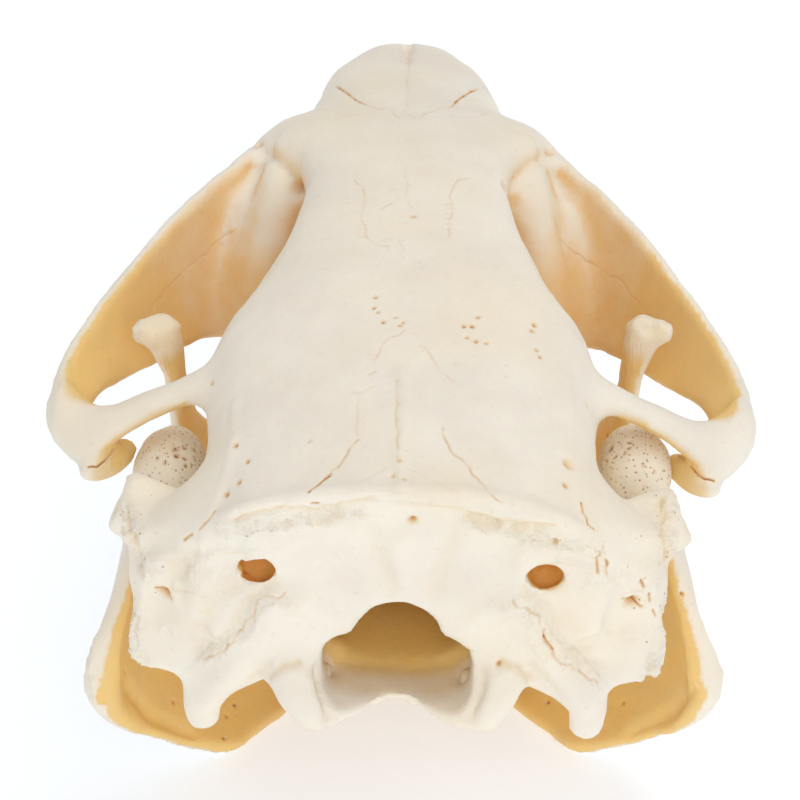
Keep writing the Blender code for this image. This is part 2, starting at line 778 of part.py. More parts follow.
def cheek_row(upper):
    """Four cheek teeth, their crowns out of the bone and their roots sunk well in."""
    teeth = []
    y = ROW_FRONT_Y
    length = sum(t[0] for t in CHEEK_TEETH)
    for long, wide in CHEEK_TEETH:
        middle = y - long / 2
        share = (ROW_FRONT_Y - middle) / length
        x = ROW_FRONT_X + (ROW_BACK_X - ROW_FRONT_X) * share
        half, deep = wide / 2, long / 2 - 0.12
        outline = []
        for k in range(16):
            a = 2 * math.pi * (k + 0.5) / 16
            c, s = math.cos(a), math.sin(a)
            outline.append((x + half * math.copysign(abs(c) ** 0.5, c), middle + deep * math.copysign(abs(s) ** 0.5, s)))
        low, high = (0.0, 10.0) if upper else (-13.0, -BITE_GAP)
        teeth.append(prism(outline, "z", low, high))
        y -= long
    return teeth


# The bones, parted from the whole


def nasal_block(side):
    """The region of one nasal bone, from its pointed rear end to past its tip."""

    def block(grow):
        outline = [(SEAM / 2, 86.4), (5.4, 91.0), (6.2, 95.0), (8.4, 100.0), (13.2, 111.0), (15.5, 118.0), (15.5, 135), (SEAM / 2, 135)]
        floor = prism(grown(outline, grow), "z", lambda x, y: 35.6 - (y - 86.4) * 0.30 - grow, 60)
        return on_side(floor, side)

    return block


def premaxilla_block(grow):
    outline = [(92.0, 60), (92.4, 38), (95.0, 25), (98.5, 10), (100, -20), (150, -20), (150, 60)]
    return prism(grown(outline, grow), "x", -40, 40)


def inside_arch(y):
    """How far out the inner face of the arch lies, a little inside the bone."""
    return 21.0 + 0.52 * (80.0 - max(y, 47.0))


def jugal_block(side):
    """The region of one jugal in side view: below the squamosal's cap, behind and above the maxilla."""

    def block(grow):
        outline = [
            (87.0, 50), (86.0, 36), (80.0, 27), (74.0, 23), (66.0, 21), (60.0, 18), (56.0, 14), (54, 4),
            (20, 4), (20, 21.0), (30.0, 21.6), (36.0, 23.0), (41.0, 24.4), (45.0, 27.0), (46.5, 30), (47, 50),
        ]
        return on_side(prism(grown(outline, grow), "x", lambda y, z: inside_arch(y) - grow, 70), side)

    return block


def occipital_block(grow):
    """The region of the occipital bone, seen from behind, and as deep as its sutures run."""
    half = [
        (10.0, 40.2), (17.6, 37.6), (20.2, 33.0), (19.6, 27.0), (16.2, 23.4), (19.0, 21.0),
        (20.4, 17.6), (23.0, 14.2), (26.2, 9.6), (29.8, 5.0), (34.0, 0.0), (34.0, -12.0),
    ]
    outline = [(0, 41.0)] + half + [(-x, z) for x, z in half[::-1]]
    return prism(grown(outline, grow), "y", -20, lambda x, z: 9.0 - 0.185 * z + grow)


def bulla_block(side):
    """The region of the ear's drum and tube."""

    def block(grow):
        radii = (9.0 + grow, 12.4 + grow, 8.6 + grow)
        return on_side(ovoid((16.6, 17.5, 3.4), radii, turn=(0, 0, -22), around=14, down=9), side)

    return block


def material(name, colour, roughness):
    mat = bpy.data.materials.new(name)
    mat.use_nodes = True
    shader = mat.node_tree.nodes["Principled BSDF"]
    shader.inputs["Base Color"].default_value = (*colour, 1)
    shader.inputs["Roughness"].default_value = roughness
    shader.inputs["Metallic"].default_value = 0
    return mat


def finish(obj, look):
    obj.data.materials.clear()
    obj.data.materials.append(material(obj.name, *look))
    obj.data.shade_smooth()
    obj.data.set_sharp_from_angle(angle=math.radians(50))


def cranium_set():
    """How the cranium sits askew on the jaw."""
    pivot = Matrix.Translation((0, 0, CREST_TOP * MM))
    roll = Matrix.Rotation(math.radians(CRANIUM_ROLL), 4, "Y")
    turn = Matrix.Rotation(math.radians(CRANIUM_TURN), 4, "Z")
    return pivot @ turn @ roll @ pivot.inverted()


def rest_line(jaws):
    """The slope of the table under the jaw, in side view: its height at y = 0 and its rise, just above the lowest
    points of the jaw angles and of the chin."""
    points = [v.co / MM for half in jaws for v in half.data.vertices]
    angle = min((p for p in points if p.y < REST_SPLIT_Y), key=lambda p: p.z)
    chin_low = min((p for p in points if p.y > REST_SPLIT_Y), key=lambda p: p.z)
    rise = (chin_low.z - angle.z) / (chin_low.y - angle.y)
    return angle.z - angle.y * rise + REST_FLAT, rise


def worn_flat(jaws, height, rise):
    """Small flats under the jaw, all on one plane, for it to stand on."""
    below = [(-20, height - 20 * rise), (120, height + 120 * rise), (120, -70), (-20, -70)]
    for half in jaws:
        combine(half, [prism(below, "x", -60, 60)], "DIFFERENCE")


def lay_down(objects, rise):
    """Tilts the skull until its flats lie on the table, and sets it over the middle of its box."""
    holder = bpy.data.objects.new("skull", None)
    bpy.context.scene.collection.objects.link(holder)
    tilt = Matrix.Rotation(-math.atan(rise), 4, "X")
    corners = [tilt @ v.co for obj in objects for v in obj.data.vertices]
    low = Vector([min(c[i] for c in corners) for i in range(3)])
    high = Vector([max(c[i] for c in corners) for i in range(3)])
    holder.matrix_world = Matrix.Translation((-(low.x + high.x) / 2, -(low.y + high.y) / 2, -low.z)) @ tilt
    for obj in objects:
        obj.parent = holder


def main():
    clear_scene()
    upper = []
    whole = thin_out(cranium(), CRANIUM_TRIANGLES)
    whole.name = "braincase"
    for side in SIDES:
        tooth = on_side(upper_front_tooth(), side)
        upper.append(new_object("upper_incisor_" + side, [tooth]))
    upper.append(part_off(whole, "occipital", occipital_block))
    for side in SIDES:
        upper.append(part_off(whole, "nasal_" + side, nasal_block(side)))
        upper.append(part_off(whole, "jugal_" + side, jugal_block(side)))
        upper.append(part_off(whole, "bulla_" + side, bulla_block(side)))
    snout_bone = part_off(whole, "premaxilla", premaxilla_block)
    combine(snout_bone, both(upper_front_tooth(SEAM)), "DIFFERENCE")
    combine(whole, both(*cheek_row(True)), "UNION")
    upper += [snout_bone, whole]
    jaws = [thin_out(jaw(side), JAW_TRIANGLES) for side in SIDES]
    height, rise = rest_line(jaws)
    worn_flat(jaws, height, rise)
    lower = list(jaws)
    for side, half in zip(SIDES, jaws):
        combine(half, [on_side(lower_front_tooth(SEAM), side)], "DIFFERENCE")
        combine(half, [on_side(t, side) for t in cheek_row(False)], "UNION")
        lower.append(new_object("lower_incisor_" + side, [on_side(lower_front_tooth(), side)]))
    for obj in upper:
        obj.data.transform(cranium_set())
    for obj in upper + lower:
        finish(obj, HORNY if "incisor" in obj.name else BONE)
    lay_down(upper + lower, rise)


main()
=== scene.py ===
# Beaver skull with its lower jaw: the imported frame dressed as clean, dry bone.
import itertools
import math
import random

import bmesh
import bpy
import numpy as np
from mathutils import Matrix, Vector
from mathutils.bvhtree import BVHTree
from mathutils.kdtree import KDTree


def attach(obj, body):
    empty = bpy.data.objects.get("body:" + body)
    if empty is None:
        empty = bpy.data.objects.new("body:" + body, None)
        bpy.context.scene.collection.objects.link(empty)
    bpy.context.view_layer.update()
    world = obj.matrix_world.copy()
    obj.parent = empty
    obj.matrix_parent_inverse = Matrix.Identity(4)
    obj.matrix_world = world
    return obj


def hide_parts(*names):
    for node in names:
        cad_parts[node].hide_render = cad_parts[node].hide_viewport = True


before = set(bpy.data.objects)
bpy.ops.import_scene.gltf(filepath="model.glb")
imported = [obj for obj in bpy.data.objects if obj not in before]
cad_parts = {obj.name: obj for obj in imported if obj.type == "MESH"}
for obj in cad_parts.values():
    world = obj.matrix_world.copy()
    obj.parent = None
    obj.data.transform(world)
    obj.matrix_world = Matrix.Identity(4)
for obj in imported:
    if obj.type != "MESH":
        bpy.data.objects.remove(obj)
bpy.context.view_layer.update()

mm = 0.001
weld = 0.00001  # metres
smoothing = 0.5

# How the skull lies: all shapes below are drawn in the skull's own frame, in millimetres, x to the
# animal's right, y towards the nose, z up, with z = 0 on the chewing plane and y = 0 at the back crest
lie = {
    "tilt": 4.893,  # degrees that the whole leans back on its jaw
    "offset": (0.17, -58.30, 29.83),
    "crestHeight": 42.0,  # the cranium is askew on the jaw about this height
    "roll": 1.6,
    "turn": -0.5,
}

view = {
    "above": 38.0,  # degrees above the chewing plane
    "distance": 508.0,
    "focal": 4000.0,  # in pixels of the picture
    "middle": (403.0, 400.0),
    "crestRow": 495.0,
    "width": 800,
    "sensor": 36,
    "clip": (0.01, 10),  # metres
}


def turnAbout(axis, degrees):
    return Matrix.Rotation(math.radians(degrees), 4, axis)


jawSpot = Matrix.Translation(Vector(lie["offset"]) * mm)
jawToWorld = jawSpot @ turnAbout("X", lie["tilt"]) @ Matrix.Scale(mm, 4)
crestPoint = Matrix.Translation((0, 0, lie["crestHeight"]))
askew = crestPoint @ turnAbout("Z", lie["turn"]) @ turnAbout("Y", lie["roll"]) @ crestPoint.inverted()
craniumToWorld = jawToWorld @ askew


# The camera
above = math.radians(view["above"])
lookAxis = Vector((0, math.cos(above), -math.sin(above)))
lookUp = Vector((0, -lookAxis.z, lookAxis.y))
cameraSpot = Vector((0, 0, lie["crestHeight"])) - view["distance"] * (
    lookAxis + lookUp * (view["middle"][1] - view["crestRow"]) / view["focal"]
)


def makeCamera():
    data = bpy.data.cameras.new("camera")
    camera = bpy.data.objects.new("camera", data)
    bpy.context.scene.collection.objects.link(camera)
    turned = Matrix((Vector((1, 0, 0)), lookUp, -lookAxis)).transposed().to_4x4()
    camera.matrix_world = (jawToWorld @ Matrix.Translation(cameraSpot) @ turned).normalized()
    data.sensor_width = view["sensor"]
    data.lens = view["sensor"] * view["focal"] / view["width"]
    data.shift_x = (view["width"] / 2 - view["middle"][0]) / view["width"]
    data.clip_start, data.clip_end = view["clip"]
    bpy.context.scene.camera = camera


def sightLine(spot, toWorld):
    # where a pixel of the picture looks from, and its direction, in a bone's own frame
    way = lookAxis + Vector((1, 0, 0)) * (spot[0] - view["middle"][0]) / view["focal"]
    way = way + lookUp * (view["middle"][1] - spot[1]) / view["focal"]
    back = toWorld.inverted() @ jawToWorld
    start = back @ cameraSpot
    return start, (back @ (cameraSpot + way) - start).normalized()


makeCamera()
print("camera placed")


# Small tools
def selectOnly(obj):
    bpy.ops.object.select_all(action="DESELECT")
    obj.select_set(True)
    bpy.context.view_layer.objects.active = obj


def linked(name, data):
    obj = bpy.data.objects.new(name, data)
    bpy.context.scene.collection.objects.link(obj)
    return obj


def applyModifiers(obj):
    selectOnly(obj)
    for modifier in list(obj.modifiers):
        bpy.ops.object.modifier_apply(modifier=modifier.name)


def addModifier(obj, kind, **settings):
    modifier = obj.modifiers.new(kind.title(), kind)
    for key, value in settings.items():
        setattr(modifier, key, value)
    return modifier


def readArray(items, name):
    flat = np.empty(len(items) * 3, dtype=np.float32)
    items.foreach_get(name, flat)
    return flat.reshape(-1, 3).astype(np.float64)


def vertexArray(obj):
    return readArray(obj.data.vertices, "co")


def normalArray(obj):
    return readArray(obj.data.vertex_normals, "vector")


def putVertices(obj, points):
    obj.data.vertices.foreach_set("co", points.astype(np.float32).ravel())
    obj.data.update()


def moved(points, matrix):
    m = np.array(matrix)
    return points @ m[:3, :3].T + m[:3, 3]


def bonePoints(obj, toWorld):
    return moved(vertexArray(obj), toWorld.inverted())


def boneNormals(obj, toWorld):
    return normalArray(obj) @ np.array(toWorld.inverted())[:3, :3].T * mm


def smoothStep(low, high, value):
    t = np.clip((value - low) / (high - low), 0, 1)
    return t * t * (3 - 2 * t)


def lumps(points, size, seed=0):
    # soft random hills between -1 and 1, about size millimetres apart
    grid = points / size
    base = np.floor(grid).astype(np.int64)
    part = grid - base
    part = part * part * (3 - 2 * part)
    total = np.zeros(len(points))
    for corner in itertools.product((0, 1), repeat=3):
        # each grid corner's own random height, mixed from its whole numbers
        spot = base + np.array(corner)
        mixed = np.bitwise_xor.reduce(spot * (73856093, 19349663, 83492791), axis=1) ^ (seed * 2654435761)
        for shift, factor in ((15, 2246822519), (13, 3266489917)):
            mixed = ((mixed ^ (mixed >> shift)) * factor) & 0xFFFFFFFF
        share = np.ones(len(points))
        for axis in range(3):
            share = share * (part[:, axis] if corner[axis] else 1 - part[:, axis])
        total += share * (((mixed >> 8) & 0xFFFF) / 32767.5 - 1)
    return total


def copyOf(name):
    source = bpy.data.objects[name]
    piece = linked(name + "_copy", source.data.copy())
    piece.data.materials.clear()
    selectOnly(piece)
    bpy.ops.object.mode_set(mode="EDIT")
    bpy.ops.mesh.select_all(action="SELECT")
    bpy.ops.mesh.remove_doubles(threshold=weld)
    bpy.ops.object.mode_set(mode="OBJECT")
    return piece


def joined(name, pieces):
    bpy.ops.object.select_all(action="DESELECT")
    for piece in pieces:
        piece.select_set(True)
    bpy.context.view_layer.objects.active = pieces[0]
    bpy.ops.object.join()
    whole = bpy.context.view_layer.objects.active
    whole.name = name
    return whole


def regrown(obj, voxel, swell=0.0, rounds=3):
    # one fine even skin over the faceted solid, voxel in mm; swell closes the gaps between bones first
    if swell:
        addModifier(obj, "DISPLACE", strength=swell * mm, mid_level=0.0)
    addModifier(obj, "REMESH", mode="VOXEL", voxel_size=voxel * mm)
    addModifier(obj, "SMOOTH", factor=smoothing, iterations=rounds)
    if swell:
        addModifier(obj, "DISPLACE", strength=-swell * mm, mid_level=0.0)
    applyModifiers(obj)
    return obj


# Reading the picture's pixels as places on a bone
def pixels(row):
    return list(zip(row[::2], row[1::2]))


class Skin:
    def __init__(self, obj, toWorld):
        self.toWorld = toWorld
        points = bonePoints(obj, toWorld)
        faces = [list(p.vertices) for p in obj.data.polygons]
        self.tree = BVHTree.FromPolygons([Vector(p) for p in points], faces)

    def under(self, spot):
        start, way = sightLine(spot, self.toWorld)
        return self.tree.ray_cast(start, way)[0]

    def line(self, row, step=0.5, sway=0.0, every=1.0, seed=0):
        # a wandering line through pixels of the picture, laid on the bone
        spots = pixels(row)
        rng = random.Random(seed)
        out = []
        perMm = view["focal"] / view["distance"]
        for a, b in zip(spots, spots[1:]):
            length = math.hypot(b[0] - a[0], b[1] - a[1])
            side = Vector((-(b[1] - a[1]), b[0] - a[0])) / max(length, 1)
            count = max(1, round(length / perMm / step))
            turns = max(1, round(length / perMm / every))
            offsets = [0.0] + [rng.uniform(-1, 1) * sway * perMm for _ in range(turns - 1)] + [0.0]
            for k in range(count):
                u = k / count * turns
                low = int(u)
                offset = offsets[low] + (offsets[low + 1] - offsets[low]) * (u - low)
                spot = Vector(a).lerp(Vector(b), k / count) + side * offset
                hit = self.under(spot)
                if hit:
                    out.append(hit)
        hit = self.under(spots[-1])
        return out + ([hit] if hit else [])


lineJump = 6.0  # square mm between two points of a line that leaps to another surface
lineRun = 10  # so many steps of a line are measured together


def distanceTo(points, path, reach):
    # the vertices within reach of a line of points, and how far from it each is
    line = np.array([tuple(p) for p in path])
    if len(line) == 1:
        line = np.vstack([line, line])
    best = np.full(len(points), np.inf)
    for start in range(0, len(line) - 1, lineRun):
        run = line[start : start + lineRun + 1]
        near = np.where(np.all((points > run.min(0) - reach) & (points < run.max(0) + reach), axis=1))[0]
        here = points[near]
        for a, b in zip(run, run[1:]):
            way = b - a
            if way @ way > lineJump:
                continue
            share = np.clip((here - a) @ way / max(way @ way, 1e-9), 0, 1)
            away = np.linalg.norm(here - a - share[:, None] * way, axis=1)
            best[near] = np.minimum(best[near], away)
    close = np.where(best < reach)[0]
    return close, best[close]


stained = {"even": 0.7, "patchy": 0.9, "patch": 1.3, "seed": 7, "least": 0.1, "narrow": 1.3}
pressed = 2.2  # times its reach, how far out a groove is followed
flaked = {"within": 1.6, "fades": (1.5, 0.4), "finer": 0.45, "finerShare": 0.5, "level": 0.45}


class Relief:
    # everything that is pressed into or raised from one skin, gathered before it is applied
    def __init__(self, obj, toWorld):
        self.obj = obj
        self.toWorld = toWorld
        self.points = bonePoints(obj, toWorld)
        self.normals = boneNormals(obj, toWorld)
        self.depth, self.stain, self.honey, self.coarse = np.zeros((4, len(self.points)))

    def press(self, path, reach, depth, stain=0.0, honey=0.0):
        # a groove where depth is positive, a ridge where it is negative
        if not path:
            return
        index, away = distanceTo(self.points, path, reach * pressed)
        share = np.exp(-((away / reach) ** 2))
        self.depth[index] += depth * share
        if stain:
            patches = lumps(self.points[index], stained["patch"], stained["seed"])
            broken = np.clip(stained["even"] + stained["patchy"] * patches, stained["least"], 1.0)
            brown = stain * broken * np.exp(-((away / reach) ** 2) * stained["narrow"])
            self.stain[index] = np.maximum(self.stain[index], brown)
        # painted shade along the mark, strongest at its middle
        self.honey[index] = np.maximum(self.honey[index], honey * share)

    def roughen(self, path, reach, height, size, seed):
        # flaky, uneven bone along a line
        if not path:
            return
        index, away = distanceTo(self.points, path, reach * flaked["within"])
        share = smoothStep(*(reach * part for part in flaked["fades"]), away)
        here = self.points[index]
        finer = np.abs(lumps(here, size * flaked["finer"], seed + 1))
        grain = np.abs(lumps(here, size, seed)) + flaked["finerShare"] * finer - flaked["level"]
        self.depth[index] += height * share * grain
        self.coarse[index] = np.maximum(self.coarse[index], share * min(1.0, height))

    def wave(self, size, height, seed):
        self.depth += height * lumps(self.points, size, seed)

    def apply(self):
        putVertices(self.obj, moved(self.points - self.normals * self.depth[:, None], self.toWorld))


def pointTree(points):
    tree = KDTree(len(points))
    for k, point in enumerate(points):
        tree.insert(point, k)
    tree.balance()
    return tree


def refine(obj, toWorld, paths, reach):
    # smaller faces near the lines, for them to be crisp
    tree = pointTree(list(itertools.chain(*paths)))
    back = toWorld.inverted()
    bm = bmesh.new()
    bm.from_mesh(obj.data)
    near = [tree.find(back @ v.co)[2] < reach for v in bm.verts]
    edges = [e for e in bm.edges if near[e.verts[0].index] and near[e.verts[1].index]]
    bmesh.ops.subdivide_edges(bm, edges=edges, cuts=1, use_grid_fill=True)
    bmesh.ops.triangulate(bm, faces=[f for f in bm.faces if len(f.verts) > 4])
    bm.to_mesh(obj.data)
    bm.free()


def putAttribute(obj, name, values):
    attribute = obj.data.attributes.get(name) or obj.data.attributes.new(name, "FLOAT", "POINT")
    attribute.data.foreach_set("value", np.clip(values, 0, 1).astype(np.float32))


# How open to the light each part of a surface is, from rays against all the solids
lightRays = {
    "count": 20,
    "length": 34.0,
    "share": 6,  # one vertex in so many is looked at
    "lift": 0.9,  # from the surface, so that a bone does not shade itself
    "goldenAngle": 2.399963,
    "neighbours": 6,  # of the vertices looked at, whose mean the others get
    "blur": 0.3,
}


def solidsTree():
    points, faces = [], []
    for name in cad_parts:
        mesh = bpy.data.objects[name].data
        start = len(points)
        points += [v.co / mm for v in mesh.vertices]
        faces += [[start + i for i in p.vertices] for p in mesh.polygons]
    return BVHTree.FromPolygons(points, faces)


allSolids = solidsTree()


def hemisphere(count):
    out = []
    for k in range(count):
        lift = math.sqrt((k + 0.5) / count)
        turn = k * lightRays["goldenAngle"]
        flat = math.sqrt(1 - lift * lift)
        out.append((flat * math.cos(turn), flat * math.sin(turn), lift))
    return out


def openness(obj):
    points = vertexArray(obj) / mm
    normals = normalArray(obj)
    chosen = list(range(0, len(points), lightRays["share"]))
    rays = hemisphere(lightRays["count"])
    tree = pointTree(points[chosen])
    seen = []
    for index in chosen:
        normal = Vector(normals[index])
        side = normal.orthogonal().normalized()
        other = normal.cross(side)
        start = Vector(points[index]) + normal * lightRays["lift"]
        free = 0
        for x, y, z in rays:
            if allSolids.ray_cast(start, side * x + other * y + normal * z, lightRays["length"])[0] is None:
                free += 1
        seen.append(free / len(rays))
    out = np.empty(len(points))
    for k, point in enumerate(points):
        total = weight = 0.0
        for _, index, away in tree.find_n(point, lightRays["neighbours"]):
            w = 1 / (away + lightRays["blur"]) ** 2
            total += w * seen[index]
            weight += w
        out[k] = total / weight
    return out


class Record:
    # values of a skin's vertices, found again by place after the bones are parted
    def __init__(self, obj, **values):
        self.values = values
        self.tree = pointTree(vertexArray(obj) / mm)

    def give(self, obj):
        nearest = np.array([self.tree.find(v.co / mm)[1] for v in obj.data.vertices])
        for name, values in self.values.items():
            putAttribute(obj, name, values[nearest])


# Materials
def hexColour(text):
    # an sRGB hex value as linear colour
    values = [int(text[i : i + 2], 16) / 255 for i in (1, 3, 5)]
    return tuple(v / 12.92 if v <= 0.04045 else ((v + 0.055) / 1.055) ** 2.4 for v in values) + (1.0,)


def paints(spec):
    return {name: hexColour(value) for name, value in spec.items() if isinstance(value, str)}


def addNode(tree, kind, links=None, **settings):
    # one node with its settings; links maps an input to a value or to another node's output
    node = tree.nodes.new("ShaderNode" + kind)
    for key, value in settings.items():
        setattr(node, key, value)
    for key, value in (links or {}).items():
        if isinstance(value, bpy.types.NodeSocket):
            tree.links.new(value, node.inputs[key])
        else:
            node.inputs[key].default_value = value
    return node


def mixColours(tree, factor, first, second, blend="MIX"):
    links = {0: factor, 6: first, 7: second}
    return addNode(tree, "Mix", links, data_type="RGBA", blend_type=blend).outputs[2]


def ranged(tree, value, low, high, toLow=0.0, toHigh=1.0):
    # what runs from low to high made to run from toLow to toHigh
    links = {"Value": value, "From Min": low, "From Max": high, "To Min": toLow, "To Max": toHigh}
    return addNode(tree, "MapRange", links).outputs["Result"]


def reckon(tree, operation, *values):
    return addNode(tree, "Math", dict(enumerate(values)), operation=operation).outputs[0]


def noise(tree, place, scale, detail, roughness=0.5, distortion=0.0):
    links = {"Vector": place, "Scale": scale, "Detail": detail}
    links.update({"Roughness": roughness, "Distortion": distortion})
    return addNode(tree, "TexNoise", links).outputs["Fac"]


def attribute(tree, name):
    return addNode(tree, "Attribute", attribute_name=name).outputs["Fac"]


def finishShader(tree, shader, colour, roughness, normal, plain):
    for name, socket in (("Base Color", colour), ("Roughness", roughness), ("Normal", normal)):
        tree.links.new(socket, shader.inputs[name])
    for name, value in plain.items():
        shader.inputs[name].default_value = value


def newMaterial(name):
    material = bpy.data.materials.new(name)
    material.use_nodes = True
    tree = material.node_tree
    return material, tree, tree.nodes["Principled BSDF"]


bone = {
    "cream": "#f6eedf",  # sun-bleached outer bone
    "greyer": "#efe6d7",
    "warmer": "#f5e6c9",
    "honey": "#eecb88",  # warm painted shade for hollows, undersides and inner faces, standing also for light glowing through thin bone
    "honeyFront": "#f2cb90",  # the same in the front of the eye sockets
    # the deepest painted shade, made bright to stand for light glowing through thin walls in the deepest
    # hollows
    "deepShadeAndGlow": "#fbd07a",
    "stain": "#d69a45",  # in sutures and vessel holes
    "deepStain": "#744716",  # down in the deepest of them
    "pit": "#a0661f",
    # each pattern: how many to a metre, detail, roughness and distortion
    "patterns": {
        "patch": (1 / 0.011, 3.0, 0.55), "other": (0.45 / 0.011, 2.0), "cloud": (190.0, 4.0, 0.6),
        "speck": (900.0, 3.0, 0.7), "grain": (0.4 / 0.00035, 5.0, 0.62), "soft": (330.0, 3.0),
        "wrinkle": (1 / 0.0009, 4.0, 0.5, 1.4),
    },
    "pores": {"Scale": 1 / 0.0006, "Randomness": 1.0},
    # from which values of a pattern, and to which
    "patches": (0.36, 0.64),
    "others": (0.45, 0.7, 0.0, 0.5),
    "drift": (0.3, 0.7, 0.78, 1.22),
    "shallow": (0.0, 0.5),
    "deep": (0.5, 1.0),
    "forward": (-0.012, 0.02),
    "specks": (0.6, 0.8, 0.0, 0.16),
    "dots": (0.12, 0.32, 1.0, 0.0),
    "deepest": (0.6, 1.0, 0.0, 0.75),
    "roughness": (0.3, 0.7, 0.52, 0.64),
    "poreColour": 0.8,
    "softHeight": 1.8,
    "poreHeight": -1.2,
    "bump": {"Strength": 0.4, "Distance": 0.00016},
    "wrinkles": {"Strength": 0.75, "Distance": 0.00035},
    "shader": {
        "IOR": 1.54, "Specular IOR Level": 0.32, "Subsurface Weight": 0.12,
        "Subsurface Radius": (1.0, 0.6, 0.35), "Subsurface Scale": 0.0012,
    },
}


def makeBoneMaterial():
    # Degreased, bleached bone: matt cream outside with a faint satin on worn ridges, chalky and full of
    # pores at the growing ends; painted warm shade in hollows, undersides and inner faces, also for light
    # through thin bone
    material, tree, shader = newMaterial("bleached bone")
    place = addNode(tree, "TexCoord").outputs["Object"]
    names = "honey", "stain", "porous", "coarse"
    honey, stain, porous, coarse = (attribute(tree, name) for name in names)
    paint = paints(bone)
    patterns = [noise(tree, place, *pattern) for pattern in bone["patterns"].values()]
    patch, other, cloud, speck, grain, soft, wrinkle = patterns
    colour = mixColours(tree, ranged(tree, patch, *bone["patches"]), paint["cream"], paint["greyer"])
    colour = mixColours(tree, ranged(tree, other, *bone["others"]), colour, paint["warmer"])
    # the painted shade's colour comes in soft clouds, so its border wanders
    level = reckon(tree, "MULTIPLY", honey, ranged(tree, cloud, *bone["drift"]))
    along = addNode(tree, "SeparateXYZ", {"Vector": place}).outputs["Y"]
    honeys = mixColours(tree, ranged(tree, along, *bone["forward"]), paint["honey"], paint["honeyFront"])
    colour = mixColours(tree, ranged(tree, level, *bone["shallow"]), colour, honeys)
    # where the painted shade is deepest it turns to a bright painted glow
    colour = mixColours(tree, ranged(tree, level, *bone["deep"]), colour, paint["deepShadeAndGlow"])
    # fine warm specks
    colour = mixColours(tree, ranged(tree, speck, *bone["specks"]), colour, paint["pit"])
    # pores: small dark dots where the bone is spongy
    cell = addNode(tree, "TexVoronoi", {"Vector": place, **bone["pores"]})
    drawn = addNode(tree, "SeparateColor", {"Color": cell.outputs["Color"]}).outputs[0]
    kept = reckon(tree, "LESS_THAN", drawn, porous)
    pores = reckon(tree, "MULTIPLY", ranged(tree, cell.outputs["Distance"], *bone["dots"]), kept)
    colour = mixColours(tree, reckon(tree, "MULTIPLY", pores, bone["poreColour"]), colour, paint["pit"])
    colour = mixColours(tree, stain, colour, paint["stain"], "MULTIPLY")
    colour = mixColours(tree, ranged(tree, stain, *bone["deepest"]), colour, paint["deepStain"])
    # the fine relief, and wrinkled, flaking bone round the ears and along the crest
    height = reckon(tree, "MULTIPLY_ADD", soft, bone["softHeight"], grain)
    height = reckon(tree, "MULTIPLY_ADD", pores, bone["poreHeight"], height)
    bump = addNode(tree, "Bump", {"Height": height, **bone["bump"]}).outputs["Normal"]
    folds = reckon(tree, "MULTIPLY", wrinkle, coarse)
    bump = addNode(tree, "Bump", {"Height": folds, "Normal": bump, **bone["wrinkles"]}).outputs["Normal"]
    rough = ranged(tree, patch, *bone["roughness"])
    finishShader(tree, shader, colour, rough, bump, bone["shader"])
    return material


boneMaterial = makeBoneMaterial()


# What is cut into or raised from the bone: how far it reaches and its depth in mm (less than nothing is
# raised), how brown it is, how much painted shade it lays along itself, and how much the line wanders
markKinds = {
    "suture": (0.15, 0.1, 0.5, 0.12, 0.4),
    "seam": (0.14, 0.07, 0.3, 0.06, 0.35),
    "faint": (0.14, 0.05, 0.16, 0.03, 0.3),
    "crack": (0.17, 0.22, 1.0, 0.35, 0.1),
    "trough": (0.55, 0.7, 0.0, 0.12, 0.3),
    "groove": (0.8, 0.85, 0.0, 0.06, 0.0),
    "valley": (1.3, 0.8, 0.0, 0.05, 0.1),
    "hollow": (2.8, 1.0, 0.0, 0.0, 0.0),
    "lip": (0.45, -0.55, 0.0, 0.0, 0.25),
    "ridge": (0.8, -0.35, 0.0, 0.0, 0.1),
    "swell": (1.8, -0.9, 0.0, 0.0, 0.0),
    # painted shade only, with no groove and no stain
    "shadeStrip": (1.2, 0.0, 0.0, 0.75, 0.0),
    "stria": (0.16, 0.07, 0.12, 0.04, 0.15),
}
carving = {
    "every": 0.7,  # mm between two turns of a wandering line
    "fine": (0.6, 1.1),  # lines narrower than the first get smaller faces within the second, in mm
    "finest": (0.3, 0.5),
    "waves": ((6.0, 0.1), (2.2, 0.06)),  # size and height of the bone's own unevenness
    # painted shade round each pit, as a share of its stain
    "pitPaintedShade": 0.6,
}


def sculpt(obj, toWorld, marks, pits, flaky, seed):
    # marks, pits and flaky are rows as in the tables below
    surface = Skin(obj, toWorld)
    laid = []
    for kind, lines in marks.items():
        for row in lines:
            seed += 1
            line = surface.line(row, sway=markKinds[kind][-1], every=carving["every"], seed=seed)
            if line:
                laid.append((markKinds[kind], line))
    holes = [(surface.under(spot), *row[:3]) for row in pits for spot in pixels(row[3:])]
    holes = [hole for hole in holes if hole[0]]
    rough = [(surface.line(row[3:]), *row[:3]) for row in flaky]
    more = [line for line, *_ in rough if line]
    for narrow, near in (carving["fine"], carving["finest"]):
        fine = [line for kind, line in laid if kind[0] < narrow]
        refine(obj, toWorld, fine + [[hole[0]] for hole in holes] + more, near)
        more = []
    relief = Relief(obj, toWorld)
    relief.free = openness(obj)
    for k, (size, height) in enumerate(carving["waves"]):
        relief.wave(size, height, seed + k)
    for (reach, depth, stain, honey, _), line in laid:
        relief.press(line, reach, depth, stain, honey)
    for hit, reach, depth, stain in holes:
        relief.press([hit], reach, depth, stain, stain * carving["pitPaintedShade"])
    for line, reach, height, size in rough:
        relief.roughen(line, reach, height, size, seed + 2)
    relief.apply()
    return relief


